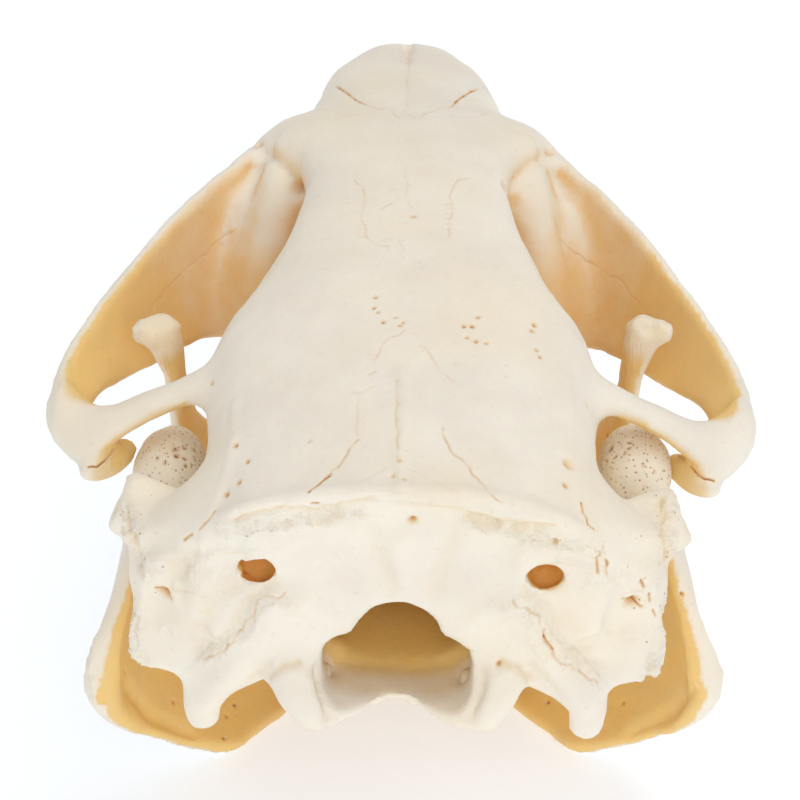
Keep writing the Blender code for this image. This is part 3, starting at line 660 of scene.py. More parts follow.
# The cranium: one skin over all its bones, carved, then parted along the sutures
cranium = {
    "bones": [
        "braincase", "occipital", "premaxilla", "nasal_left", "nasal_right",
        "jugal_left", "jugal_right", "bulla_left", "bulla_right",
    ],
    "voxel": 0.72,
    "swell": 0.26,
    "rounds": 2,
    "lobe": {"centre": (39.9, 31.6, 20.9), "radii": (4.9, 2.3, 2.3), "turn": -45.0},  # behind the arch
    "nose": {
        "middle": 19.0, "mouth": 119.0, "rise": 0.16, "high": 10.0, "wide": 8.2, "within": (96, 108),
        "round": (1.5, 1.1), "wider": 0.14, "widerAbove": 0.2, "most": 0.3,
    },
}

# each row is a line: x and y of the pixels of the picture that it runs through
craniumMarks = {
    "crack": [
        (322, 79, 340, 88, 350, 95, 358, 101, 365, 104),
        (494, 84, 478, 89, 470, 92, 460, 98, 449, 107), (580, 504, 582, 514, 588, 524, 594, 529),
        (215, 511, 208, 520, 199, 529), (192, 534, 184, 540), (604, 548, 597, 558, 597, 572),
        (606, 560, 608, 574), (641, 580, 644, 587), (649, 594, 650, 601), (653, 610, 656, 616),
        (155, 590, 173, 597), (623, 600, 643, 608),
        (88, 467, 97, 467, 101, 464, 108, 458, 113, 451, 117, 448),
        (673, 450, 683, 460, 694, 471, 704, 479, 714, 481), (543, 634, 546, 640, 552, 648),
        (330, 474, 318, 484, 309, 493), (312, 503, 318, 503),
    ],
    "suture": [
        (358, 439, 348, 452, 340, 464, 330, 474),
        (443, 428, 448, 444, 458, 457, 470, 466, 478, 478, 486, 490, 496, 499, 503, 503),
        (284, 589, 272, 595, 257, 602, 251, 618, 243, 630, 228, 645, 214, 656, 203, 662),
        (515, 596, 524, 604, 530, 613, 540, 618, 543, 632),
        (552, 648, 566, 663, 578, 670, 590, 680, 598, 684),
    ],
    "seam": [
        (365, 104, 376, 108, 385, 107, 393, 112, 397, 117, 404, 114),
        (404, 114, 415, 118, 425, 113, 437, 108, 449, 107),
        (355, 180, 362, 187, 364, 200, 361, 212, 362, 222, 365, 234, 375, 243, 388, 246),
        (470, 178, 458, 180, 452, 190, 451, 202, 449, 220, 449, 237),
        (405, 330, 388, 337, 380, 348, 373, 360), (376, 371, 368, 376), (375, 385, 364, 391, 352, 393),
        (380, 210, 386, 206, 392, 203), (420, 345, 432, 358, 437, 368, 455, 381),
        (397, 380, 397, 420, 398, 450), (397, 458, 399, 464, 404, 462),
        (560, 240, 590, 262, 620, 280, 640, 305), (236, 230, 203, 255, 175, 280, 152, 309),
    ],
    "faint": [
        (310, 106, 322, 109, 330, 111, 339, 115, 350, 116, 360, 114, 362, 110),
        (449, 110, 452, 116, 462, 118, 475, 119, 485, 114, 495, 112), (409, 52, 406, 100, 404, 112),
        (405, 165, 407, 182, 405, 195, 412, 207), (404, 240, 398, 240, 404, 250),
        (372, 243, 383, 240, 393, 240), (358, 394, 357, 415, 358, 436), (386, 468, 374, 474, 362, 480),
        (410, 470, 428, 479, 448, 488, 460, 492), (467, 337, 476, 341, 486, 343),
        (206, 600, 190, 592, 170, 586), (612, 600, 628, 594, 644, 590),
    ],
    "trough": [
        (470, 516, 500, 525, 524, 526, 552, 527),
        (235, 521, 250, 515, 275, 510, 310, 512, 340, 506, 370, 500), (270, 678, 282, 667, 298, 662),
        (531, 680, 519, 668, 503, 662), (126, 512, 130, 530, 136, 550, 142, 568),
        (660, 500, 664, 530, 668, 560, 671, 580),
    ],
    "lip": [
        (466, 518, 484, 529, 508, 533, 540, 533, 560, 535),
        (244, 528, 266, 524, 290, 526, 320, 522, 346, 516, 362, 510),
        (201, 540, 202, 555, 208, 557, 218, 550, 230, 544, 246, 548, 256, 550),
        (560, 558, 574, 562, 592, 568, 600, 572), (289, 596, 270, 602, 262, 612, 256, 628, 240, 644),
        (507, 602, 520, 610, 528, 622, 534, 640, 546, 656), (240, 578, 246, 558, 262, 556),
    ],
    "ridge": [
        (290, 666, 303, 674, 314, 690, 321, 710), (511, 666, 499, 676, 489, 692, 482, 712),
        (402, 370, 406, 396, 404, 430, 400, 456, 400, 490),
        (566, 376, 569, 400, 570, 430, 569, 456, 574, 482, 579, 502, 584, 518),
        (234, 405, 234, 420, 235, 433, 228, 470, 212, 508),
        (400, 494, 430, 499, 460, 506, 496, 514, 520, 515, 550, 518, 580, 528, 602, 542),
        (222, 512, 260, 503, 300, 496, 350, 492, 400, 492), (258, 165, 240, 210, 232, 228),
        (190, 600, 193, 608, 194, 616), (590, 600, 598, 622, 608, 646), (340, 640, 330, 655, 322, 672),
        (464, 640, 474, 655, 484, 672), (150, 560, 180, 556, 205, 560), (610, 560, 640, 566, 660, 576),
    ],
    "valley": [
        (230, 584, 218, 592, 210, 604, 204, 620, 202, 632), (566, 618, 576, 634, 586, 654),
        (372, 530, 380, 560, 392, 590), (456, 530, 448, 560, 436, 590), (176, 570, 186, 562, 196, 556),
        (270, 560, 250, 580, 236, 590),
    ],
    "hollow": [
        (158, 608, 150, 624, 166, 646, 190, 650), (620, 620, 612, 640, 612, 660), (330, 566, 350, 580),
        (470, 566, 450, 580), (258, 568, 262, 572), (545, 577, 548, 580),
    ],
    "swell": [
        (282, 594, 302, 602, 320, 612, 340, 620), (515, 598, 496, 608, 480, 616, 468, 628),
        (178, 598, 186, 612), (402, 540, 402, 580),
        (292, 600, 276, 614, 268, 632, 254, 650, 238, 666, 222, 684, 208, 706),
        (508, 606, 522, 622, 534, 642, 548, 662, 566, 680, 584, 702),
        (280, 676, 290, 694, 304, 712, 314, 724), (518, 680, 508, 696, 496, 712, 486, 724),
        (230, 540, 260, 534, 290, 536), (530, 545, 560, 548),
    ],
    # strips of painted shade only
    "shadeStrip": [
        (116, 464, 124, 450, 132, 433), (250, 568, 262, 574), (541, 577, 551, 581),
    ],
    "stria": [(357, 212 + 4 * k, 366, 213 + 4 * k) for k in range(7)]
    + [(444, 204 + 5 * k, 452, 203 + 5 * k) for k in range(6)],
    "groove": [
        (407, 40, 407, 50, 407, 62), (407, 40, 407, 50), (262, 150, 275, 158, 288, 172, 298, 190),
        (548, 154, 530, 166, 516, 180, 506, 196), (268, 664, 258, 678, 246, 690),
        (532, 664, 544, 678, 556, 692), (318, 668, 320, 690, 328, 716), (482, 668, 480, 690, 470, 716),
        (276, 584, 262, 592, 246, 604, 240, 620, 232, 632, 216, 646, 196, 656),
        (524, 590, 538, 600, 552, 614, 556, 630, 566, 646, 584, 660, 602, 672),
    ],
}

# reach and depth in mm and stain, then the pixels where such a pit lies
craniumPits = [
    (0.35, 0.5, 0.4, 413, 216), (0.45, 1.0, 0.9, 413, 520), (0.4, 0.6, 0.4, 556, 540),
    (0.28, 0.5, 0.8, 375, 297), (0.24, 0.5, 0.8, 374, 308, 486, 343), (0.22, 0.4, 0.7, 378, 312),
    (0.26, 0.5, 0.8, 383, 322, 464, 326, 476, 341), (0.2, 0.4, 0.5, 395, 317),
    (0.24, 0.4, 0.6, 400, 325, 467, 337), (0.2, 0.4, 0.6, 403, 322),
    (0.24, 0.5, 0.7, 478, 317, 537, 350, 540, 357), (0.28, 0.5, 0.85, 472, 326, 534, 325, 532, 331),
    (0.25, 0.3, 0.3, 309, 441), (0.25, 0.4, 0.5, 393, 476, 404, 480), (0.3, 0.4, 0.5, 399, 461),
    (0.7, 1.2, 0.6, 569, 464), (0.35, 0.7, 0.8, 566, 485, 238, 482, 226, 494),
    (0.3, 0.6, 0.7, 588, 406, 247, 461, 211, 383), (0.3, 0.7, 0.8, 236, 446),
    (1.0, 1.8, 0.8, 300, 188, 506, 192), (0.7, 1.0, 0.3, 258, 143, 551, 150),
    (0.8, 1.4, 0.8, 164, 593, 633, 604), (1.2, 1.6, 0.3, 330, 666, 464, 672),
    (0.3, 0.6, 0.8, 499, 664), (0.8, 1.2, 0.9, 250, 563), (0.8, 1.4, 0.9, 259, 569),
    (0.7, 1.2, 0.8, 542, 576, 549, 579),
]

# flaky and jagged bone: reach, height and size of the flakes in mm, then the line's pixels
craniumFlaky = [
    (1.4, 0.9, 1.1, 225, 530, 260, 522, 320, 518, 362, 512),
    (1.4, 0.9, 1.1, 470, 522, 520, 531, 560, 540, 600, 552),
    (2.2, 0.8, 1.3, 126, 512, 134, 545, 146, 575), (2.2, 0.8, 1.3, 664, 500, 666, 540, 670, 580),
    (1.6, 1.0, 1.2, 130, 600, 131, 630, 134, 656, 150, 668),
    (1.6, 1.0, 1.2, 664, 600, 664, 640, 650, 676), (3.0, 0.55, 1.5, 170, 575, 200, 570, 225, 575),
    (3.0, 0.55, 1.5, 590, 575, 620, 580, 650, 590), (3.0, 0.45, 1.8, 150, 630, 180, 640, 200, 640),
    (3.0, 0.45, 1.8, 600, 640, 630, 640, 650, 640),
    (1.2, 0.5, 0.9, 255, 600, 250, 620, 230, 645, 205, 662),
    (1.2, 0.5, 0.9, 520, 600, 542, 625, 560, 656, 598, 686),
]


# The cheek teeth, in mm; the bones' skins are lowered where they stand
cheekTeeth = {
    "sizes": [(8.6, 8.4), (7.6, 7.6), (7.2, 7.0), (6.8, 6.0)],  # length and width, front to back
    "frontY": 73.0,
    "frontX": 8.4,
    "backX": 12.6,
    "bite": 0.75,  # how far below the upper grinding faces the lower ones lie
    "proud": 0.2,  # how far the crowns stand out of the bone's own skin
    "room": 1.1,  # how far the skin is lowered under the grinding faces
    "margin": 0.6,  # how far round each tooth
    "reach": 2.0,  # and how deep in the bone it is looked for
    "high": 4.6,
    "voxel": 0.26,
    "rounds": 2,
    "gap": 0.05,
    "faceRoom": 0.1,
    "folds": [(-0.56, -0.1), (0.0, -0.25), (0.56, -0.1)],  # place along the tooth, how far in each comes
    "innerFold": (0.28, -0.45),
    "ridge": {"fold": (0.42, 0.2), "edge": (0.3, 0.3), "high": 0.1},  # where the enamel stands, its width
    "valley": {"wide": 0.26, "deep": 0.3, "side": 0.07},
    "worn": {"from": 0.7, "low": 0.12},
    "enamelSide": (0.9, 0.5),
    "stains": (0.16, 0.6),
    "enamel": "#efe6d2",
    "dentine": "#ddbd8a",
    "stain": "#7d4f24",
    "cloud": (500.0, 3.0),  # scale and detail
    "clouds": (0.35, 0.7, 0.0, 0.25),
    "roughness": (0.0, 1.0, 0.55, 0.25),
    "bump": {"Strength": 0.2, "Distance": 0.0001},
    "shader": {"IOR": 1.6},
}


def toothRow():
    # middle of each cheek tooth, its length and its width
    total = sum(long for long, wide in cheekTeeth["sizes"])
    front, back = cheekTeeth["frontX"], cheekTeeth["backX"]
    y = cheekTeeth["frontY"]
    for long, wide in cheekTeeth["sizes"]:
        middle = y - long / 2
        share = (cheekTeeth["frontY"] - middle) / total
        yield front + (back - front) * share, middle, long, wide
        y -= long


def lowerSkinAtTeeth(obj, toWorld, upper):
    points = bonePoints(obj, toWorld)
    margin, reach, room = cheekTeeth["margin"], cheekTeeth["reach"], cheekTeeth["room"]
    for x, y, long, wide in toothRow():
        near = abs(np.abs(points[:, 0]) - x) < wide / 2 + margin
        near &= abs(points[:, 1] - y) < long / 2 + margin
        if upper:
            near &= (points[:, 2] < room) & (points[:, 2] > -reach)
            points[near, 2] = room
        else:
            low = -cheekTeeth["bite"] - room
            near &= (points[:, 2] > low) & (points[:, 2] < reach)
            points[near, 2] = low
    putVertices(obj, moved(points, toWorld))


def ovoidSolid(spec, mirror):
    bpy.ops.object.select_all(action="DESELECT")
    bpy.ops.mesh.primitive_uv_sphere_add(segments=48, ring_count=32, radius=1.0)
    obj = bpy.context.object
    shape = (
        craniumToWorld
        @ Matrix.Diagonal((mirror, 1, 1, 1))
        @ Matrix.Translation(spec["centre"])
        @ turnAbout("Z", spec["turn"])
        @ Matrix.Diagonal((*spec["radii"], 1))
    )
    obj.data.transform(shape)
    if mirror < 0:
        obj.data.flip_normals()
    return obj


def shapeNoseOpening(obj):
    # from an oval to wide above and narrow below, with thinner sides
    spec = cranium["nose"]
    points = bonePoints(obj, craniumToWorld)
    middle = spec["middle"] + (spec["mouth"] - points[:, 1]) * spec["rise"]
    up = (points[:, 2] - middle) / spec["high"]
    away = np.hypot(points[:, 0] / spec["wide"], up)
    share = smoothStep(*spec["round"], away) * smoothStep(*spec["within"], points[:, 1])
    wider = np.clip(spec["wider"] + spec["widerAbove"] * up, -spec["most"], spec["most"])
    points[:, 0] *= 1 + share * wider
    putVertices(obj, moved(points, craniumToWorld))


def growCranium():
    lobes = [ovoidSolid(cranium["lobe"], sign) for sign in (1, -1)]
    whole = joined("cranium_skin", [copyOf(name) for name in cranium["bones"]] + lobes)
    regrown(whole, cranium["voxel"], cranium["swell"], cranium["rounds"])
    shapeNoseOpening(whole)
    lowerSkinAtTeeth(whole, craniumToWorld, True)
    return whole


def measures(obj, toWorld, free):
    # what places are told by: how far out, forward and up each vertex is, how far it faces outwards
    # from the skull's middle plane or up, and how open it is
    points, normals = bonePoints(obj, toWorld), boneNormals(obj, toWorld)
    facing = normals[:, 0] * np.sign(points[:, 0])
    out, y, z = np.abs(points[:, 0]), points[:, 1], points[:, 2]
    return {"out": out, "y": y, "z": z, "facing": facing, "up": normals[:, 2], "free": free}


def within(places, name, values):
    # each pair: where the place begins and where it is full
    share = 1.0
    for key, pairs in places[name].items():
        for low, high in pairs:
            share = share * smoothStep(low, high, values[key])
    return share


# Where the cranium gets painted shade, and the vessel hole's stain and the ear's pores
craniumPlaces = {
    "sheltered": {"free": [(0.34, 0.03)]},
    "roof": {"up": [(0.3, 0.65)], "z": [(24, 30)]},
    "socket": {"y": [(40, 54), (93, 87)], "z": [(41, 36), (5, 14)], "out": [(6, 9)]},
    "outerSide": {"facing": [(-0.3, 0.15)], "pastArch": [(1.0, 3.0)]},
    "arch": {"out": [(21, 26)], "y": [(22, 34), (106, 99)], "facing": [(0.1, -0.3)]},
    "thinArch": {"y": [(72, 60)]},
    "below": {"up": [(-0.3, -0.8)], "out": [(30, 26)]},
    "neck": {"fromAxis": [(12.5, 10.8)], "y": [(1.0, 4.0), (60, 50)], "free": [(0.8, 0.55)]},
    "deepNeck": {"y": [(5, 11)]},
    "brain": {"free": [(0.5, 0.3)], "out": [(21, 18)], "y": [(66, 60), (8, 12)], "z": [(4, 6), (40, 37)]},
    "vessel": {"fromVessel": [(4.2, 3.0)], "free": [(0.9, 0.6)]},
    "ear": {"out": [(28, 33)], "y": [(20, 12)]},
}
craniumShades = {
    "sheltered": 0.4, "socket": 0.42, "arch": 0.3, "thinArch": 0.3, "below": 0.2,
    "neck": 0.16, "deepNeck": 0.84, "vesselStain": 0.5, "earPores": 0.05,
}
archLine = (21.0, 0.52, 80)  # how far out the arch's inner side lies, how that grows, behind this y
neckAxis = {"z": 15, "flat": 0.9}
vesselHole = (18.6, 5.0, 26.5)


def colourCranium(obj, free):
    # how much painted shade, stain and pores each vertex gets
    values = measures(obj, craniumToWorld, free)
    out, y, z = values["out"], values["y"], values["z"]
    edge = archLine[0] + archLine[1] * np.maximum(archLine[2] - y, 0) - np.maximum(y - archLine[2], 0)
    values["pastArch"] = out - edge
    values["fromAxis"] = np.hypot(out, (z - neckAxis["z"]) * neckAxis["flat"])
    sizes = np.stack([out, np.abs(y), np.abs(z)], axis=1)
    values["fromVessel"] = np.linalg.norm(sizes - vesselHole, axis=1)
    place = {name: within(craniumPlaces, name, values) for name in craniumPlaces}
    shade = craniumShades
    # painted shade in sheltered hollows, eye sockets, the arches' inner faces, undersides, and deepest
    # inside the neck and braincase
    honey = [
        shade["sheltered"] * place["sheltered"],
        shade["socket"] * place["socket"] * (1 - place["roof"]) * (1 - place["outerSide"]),
        (shade["arch"] + shade["thinArch"] * place["thinArch"]) * place["arch"],
        shade["below"] * place["below"],
        place["neck"] * (shade["neck"] + shade["deepNeck"] * place["deepNeck"]),
        place["brain"],
        place["vessel"],
    ]
    stain, porous = shade["vesselStain"] * place["vessel"], shade["earPores"] * place["ear"]
    return np.clip(np.max(honey, axis=0), 0, 1), stain, porous


skin = growCranium()
craniumRelief = sculpt(skin, craniumToWorld, craniumMarks, craniumPits, craniumFlaky, 1)
print("cranium skin", len(skin.data.vertices), "vertices")
craniumPaintedShade, craniumStain, craniumPorous = colourCranium(skin, craniumRelief.free)
craniumRecord = Record(
    skin,
    honey=np.maximum(craniumPaintedShade, craniumRelief.honey),
    stain=np.maximum(craniumRelief.stain, craniumStain),
    porous=craniumPorous,
    coarse=craniumRelief.coarse,
)
print("cranium colours laid on")


# The blocks that part the bones, as outlines in the skull's frame
parting = {
    "nasal": [
        (0.0, 86.4), (5.4, 91.0), (6.2, 95.0), (8.4, 100.0), (13.2, 111.0), (15.5, 118.0), (15.5, 135),
        (0.0, 135),
    ],
    "nasalUnder": (35.6, 86.4, 0.30),  # the nasal bones' underside: its height at this y, and its slope
    "occipitalFront": (9.0, 0.185),  # how far forward the occipital comes at z = 0, and its slope
    "archLow": 47.0,  # behind this y the arch's inner side comes no further out
    # where each block ends, past its bone
    "ends": {"occipital": -20, "nasal": 60, "jugal": 70, "snoutLeft": -40, "snoutRight": 40},
    "premaxilla": [(92.0, 60), (92.4, 38), (95.0, 25), (98.5, 10), (100, -20), (150, -20), (150, 60)],
    "jugal": [
        (87.0, 50), (86.0, 36), (80.0, 27), (74.0, 23), (66.0, 21), (60.0, 18), (56.0, 14), (54, 4),
        (20, 4), (20, 21.0), (30.0, 21.6), (36.0, 23.0), (41.0, 24.4), (45.0, 27.0), (46.5, 30), (47, 50),
    ],
    "occipital": [
        (0, 41.0), (10.0, 40.2), (17.6, 37.6), (20.2, 33.0), (19.6, 27.0), (16.2, 23.4), (19.0, 21.0),
        (20.4, 17.6), (23.0, 14.2), (26.2, 9.6), (29.8, 5.0), (34.0, 0.0), (34.0, -12.0),
    ],
    "bulla": {"centre": (16.6, 17.5, 3.4), "radii": (9.0, 12.4, 8.6), "turn": -22.0},
}


def blockSolid(outline, lowAt, highAt, order, mirror=1):
    # a prism over the outline, its ends given by functions of the outline's two coordinates; order
    # says which of these and the depth are x, y and z
    bm = bmesh.new()
    low, high = (
        [bm.verts.new([(*spot, depthAt(*spot))[k] for k in order]) for spot in outline]
        for depthAt in (lowAt, highAt)
    )
    bm.faces.new(low)
    bm.faces.new(high[::-1])
    for k in range(len(outline)):
        j = (k + 1) % len(outline)
        bm.faces.new((low[k], high[k], high[j], low[j]))
    for v in bm.verts:
        v.co.x *= mirror
    bmesh.ops.triangulate(bm, faces=bm.faces)
    bmesh.ops.recalc_face_normals(bm, faces=bm.faces)
    bmesh.ops.transform(bm, matrix=craniumToWorld, verts=bm.verts)
    mesh = bpy.data.meshes.new("block")
    bm.to_mesh(mesh)
    bm.free()
    return linked("block", mesh)


def flatEnd(depth):
    return lambda u, v: depth


def insideArch(y, z):
    return archLine[0] + archLine[1] * (archLine[2] - max(y, parting["archLow"]))


def nasalUnder(x, y):
    height, start, slope = parting["nasalUnder"]
    return height - (y - start) * slope


def occipitalFront(x, z):
    return parting["occipitalFront"][0] - parting["occipitalFront"][1] * z


def blocks():
    # bone name and the solid that cuts it free, in the order of cutting
    across, down, along = (0, 2, 1), (0, 1, 2), (2, 0, 1)
    right = parting["occipital"]
    whole = right + [(-x, z) for x, z in right[:0:-1]]
    ends = {name: flatEnd(depth) for name, depth in parting["ends"].items()}
    yield "occipital", blockSolid(whole, ends["occipital"], occipitalFront, across)
    for side, sign in (("right", 1), ("left", -1)):
        yield "nasal_" + side, blockSolid(parting["nasal"], nasalUnder, ends["nasal"], down, sign)
        yield "jugal_" + side, blockSolid(parting["jugal"], insideArch, ends["jugal"], along, sign)
        yield "bulla_" + side, ovoidSolid(parting["bulla"], sign)
    yield "premaxilla", blockSolid(parting["premaxilla"], ends["snoutLeft"], ends["snoutRight"], along)


crisp = math.radians(50)  # edges sharper than this stay sharp


def dress(obj, name, material):
    obj.data.materials.clear()
    obj.data.materials.append(material)
    selectOnly(obj)
    bpy.ops.object.shade_smooth_by_angle(angle=crisp)
    obj.name = obj.data.name = name


def booleanBy(obj, cutter, operation):
    addModifier(obj, "BOOLEAN", operation=operation, object=cutter, solver="MANIFOLD")
    applyModifiers(obj)


def keepLargest(obj):
    bm = bmesh.new()
    bm.from_mesh(obj.data)
    seen, groups = set(), []
    for v in bm.verts:
        if v in seen:
            continue
        seen.add(v)
        group, queue = [], [v]
        while queue:
            now = queue.pop()
            group.append(now)
            for e in now.link_edges:
                other = e.other_vert(now)
                if other not in seen:
                    seen.add(other)
                    queue.append(other)
        groups.append(group)
    groups.sort(key=len)
    for group in groups[:-1]:
        bmesh.ops.delete(bm, geom=group, context="VERTS")
    bm.to_mesh(obj.data)
    bm.free()


def finishBone(obj, node, record):
    keepLargest(obj)
    record.give(obj)
    dress(obj, node + "_bone", boneMaterial)
    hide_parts(node)
    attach(obj, "root")


def partCranium():
    rest = skin
    for node, cutter in blocks():
        piece = linked(node, rest.data.copy())
        booleanBy(piece, cutter, "INTERSECT")
        booleanBy(rest, cutter, "DIFFERENCE")
        bpy.data.objects.remove(cutter)
        finishBone(piece, node, craniumRecord)
        print(" ", node, len(piece.data.polygons))
    finishBone(rest, "braincase", craniumRecord)
    print("  braincase", len(rest.data.polygons))


partCranium()
print("cranium parted")


# The lower jaw's two halves
mandible = {"voxel": 0.62, "rounds": 2, "seed": 40}

jawMarks = {
    "left": {
        "ridge": [(96, 640, 92, 670, 96, 700), (150, 345, 160, 330, 178, 326)],
        "valley": [(130, 690, 150, 715, 190, 735)],
        "stria": [(150 + 4 * k, 350, 160 + 3 * k, 376) for k in range(5)],
    },
    "right": {
        "ridge": [(716, 640, 722, 670, 716, 700), (628, 326, 645, 322, 660, 326)],
        "valley": [(690, 690, 670, 715, 630, 735)],
        "stria": [(624 + 4 * k, 345, 626 + 3 * k, 376) for k in range(5)],
    },
}

jawPits = {
    "left": [
        (0.42, 0.7, 1.0, 176, 448, 177, 455), (0.34, 0.6, 1.0, 185, 447, 196, 450),
        (0.26, 0.4, 1.0, 196, 444, 165, 463, 157, 458, 185, 459, 196, 459, 186, 466),
        (0.26, 0.35, 0.9, 149, 476, 155, 482, 126, 671),
        (0.32, 0.35, 1.0, 235, 705, 227, 716, 224, 738, 174, 702, 186, 680),
    ],
    "right": [
        (0.5, 0.9, 0.95, 609, 448), (0.3, 0.8, 0.9, 607, 436),
        (0.32, 0.35, 1.0, 630, 442, 548, 702, 604, 707, 623, 703, 624, 746),
        (0.26, 0.4, 1.0, 629, 447, 624, 453, 615, 456, 606, 461, 643, 465),
        (0.26, 0.35, 0.9, 655, 471), (0.3, 0.6, 0.8, 681, 594),
    ],
}

jawFlaky = {
    "left": [
        (1.6, 0.4, 0.9, 92, 630, 88, 665, 94, 700), (1.6, 0.5, 0.8, 140, 320, 136, 335, 144, 345),
    ],
    "right": [
        (1.6, 0.4, 0.9, 722, 630, 726, 665, 720, 700), (1.4, 0.4, 0.8, 640, 320, 660, 322),
    ],
}

# Where each jaw half gets painted shade, and where it is porous and flaky
jawPlaces = {
    "inside": {"inward": [(0.0, 0.3)], "y": [(84, 72)], "z": [(22, 12)]},
    "blade": {"z": [(8, 16)], "y": [(40, 44)]},
    "bladeTip": {"z": [(25, 28.5)]},
    "bladeOutside": {"facing": [(0.1, 0.5)]},
    "sheltered": {"free": [(0.3, 0.05)]},
    "condyle": {"z": [(14, 18)], "y": [(44, 40)]},
    "heel": {"z": [(-20, -27)], "y": [(52, 42)]},
    "notInside": {"inward": [(0.2, -0.1)]},
}
jawShades = {
    "inside": 0.74, "blade": 0.55, "bladeTip": 0.75, "bladeOutside": 0.75, "sheltered": 0.22,
    "condyle": 0.06, "condylePores": 0.75, "heelPores": 0.3, "condyleCoarse": 0.3,
}


def makeMandible(side):
    half = regrown(copyOf("mandible_" + side), mandible["voxel"], 0.0, mandible["rounds"])
    lowerSkinAtTeeth(half, jawToWorld, False)
    relief = sculpt(half, jawToWorld, jawMarks[side], jawPits[side], jawFlaky[side], mandible["seed"])
    values = measures(half, jawToWorld, relief.free)
    values["inward"] = -values["facing"]
    place = {name: within(jawPlaces, name, values) for name in jawPlaces}
    shade = jawShades
    # painted shade on the inner faces, the coronoid blade and sheltered hollows, taken off the condyle tops
    blade = shade["blade"] * place["blade"] * (1 - shade["bladeTip"] * place["bladeTip"])
    blade = blade * (1 - shade["bladeOutside"] * place["bladeOutside"])
    sheltered = shade["sheltered"] * place["sheltered"]
    honey = np.max([shade["inside"] * place["inside"], blade, sheltered, relief.honey], axis=0)
    condyle = place["condyle"]
    honey = honey * (1 - condyle) + shade["condyle"] * condyle
    porous = shade["condylePores"] * condyle + shade["heelPores"] * place["heel"] * place["notInside"]
    coarse = np.maximum(relief.coarse, shade["condyleCoarse"] * condyle)
    record = Record(half, honey=honey, stain=relief.stain, porous=porous, coarse=coarse)
    finishBone(half, "mandible_" + side, record)
    print("mandible", side, len(half.data.polygons))


for side in ("right", "left"):
    makeMandible(side)


# Front teeth
frontTeeth = {
    "upper": {"bow": (94.5, -1.5), "radius": 17.3, "deep": 6.6},
    "lower": {"bow": (73.5, 12.2), "radius": 36.0, "deep": 6.8},
    "voxel": 0.32,
    "rounds": 4,
    "enamelEdge": (1.5, 1.1),  # mm behind the front face, where it begins and where it is full
    "enamel": "#c4681f",
    "enamelPale": "#d68534",
    "enamelDark": "#a9521a",
    "dentine": "#e9dcc0",
    "lines": (2600.0, 110.0, 110.0),  # to a metre: close across the tooth, long down it
    "stripe": (1.0, 3.0),  # scale and detail
    "stripes": (0.35, 0.65),
    "tone": (90.0, 2.0),
    "tones": (0.4, 0.7, 0.0, 0.5),
    "roughness": (0.0, 1.0, 0.5, 0.22),
    "bump": {"Strength": 0.3, "Distance": 0.00008},
    "shader": {
        "IOR": 1.62, "Subsurface Weight": 0.1,
        "Subsurface Radius": (1.0, 0.6, 0.3), "Subsurface Scale": 0.001,
    },
}


def makeToothMaterial():
    # Beaver incisor: a hard, glossy enamel face coloured orange by iron, with fine lengthwise lines,
    # and matt cream dentine behind it
    material, tree, shader = newMaterial("iron-stained enamel")
    place = addNode(tree, "TexCoord").outputs["Object"]
    face = attribute(tree, "enamel")
    paint = paints(frontTeeth)
    lengthwise = addNode(tree, "Mapping", {"Vector": place, "Scale": frontTeeth["lines"]}).outputs["Vector"]
    stripe = noise(tree, lengthwise, *frontTeeth["stripe"])
    pale = ranged(tree, stripe, *frontTeeth["stripes"])
    orange = mixColours(tree, pale, paint["enamel"], paint["enamelPale"])
    tone = noise(tree, place, *frontTeeth["tone"])
    orange = mixColours(tree, ranged(tree, tone, *frontTeeth["tones"]), orange, paint["enamelDark"])
    colour = mixColours(tree, face, paint["dentine"], orange)
    bump = addNode(tree, "Bump", {"Height": stripe, **frontTeeth["bump"]}).outputs["Normal"]
    rough = ranged(tree, face, *frontTeeth["roughness"])
    finishShader(tree, shader, colour, rough, bump, frontTeeth["shader"])
    return material


enamelMaterial = makeToothMaterial()


def makeFrontTooth(jawName, side, toWorld):
    node = f"{jawName}_incisor_{side}"
    spec = frontTeeth[jawName]
    tooth = regrown(copyOf(node), frontTeeth["voxel"], 0.0, frontTeeth["rounds"])
    points = bonePoints(tooth, toWorld)
    away = np.hypot(points[:, 1] - spec["bow"][0], points[:, 2] - spec["bow"][1]) - spec["radius"]
    front = spec["deep"] / 2
    begins, full = frontTeeth["enamelEdge"]
    putAttribute(tooth, "enamel", smoothStep(front - begins, front - full, away))
    dress(tooth, node + "_tooth", enamelMaterial)
    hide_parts(node)
    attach(tooth, "root")


for side in ("right", "left"):
    makeFrontTooth("upper", side, craniumToWorld)
    makeFrontTooth("lower", side, jawToWorld)
print("front teeth done")


# Cheek teeth: folded enamel ridges with softer dentine between them
def makeCheekMaterial():
    # Worn cheek tooth: white glossy enamel edges, duller tan dentine, brown stain down in the folds
    material, tree, shader = newMaterial("worn cheek tooth")
    place = addNode(tree, "TexCoord").outputs["Object"]
    ridge = attribute(tree, "enamel")
    paint = paints(cheekTeeth)
    cloud = noise(tree, place, *cheekTeeth["cloud"])
    colour = mixColours(tree, ridge, paint["dentine"], paint["enamel"])
    colour = mixColours(tree, ranged(tree, cloud, *cheekTeeth["clouds"]), colour, paint["dentine"])
    colour = mixColours(tree, attribute(tree, "stain"), colour, paint["stain"])
    bump = addNode(tree, "Bump", {"Height": cloud, **cheekTeeth["bump"]}).outputs["Normal"]
    rough = ranged(tree, ridge, *cheekTeeth["roughness"])
    finishShader(tree, shader, colour, rough, bump, cheekTeeth["shader"])
    return material


cheekMaterial = makeCheekMaterial()


def bell(value, middle, wide):
    return np.exp(-(((value - middle) / wide) ** 2))


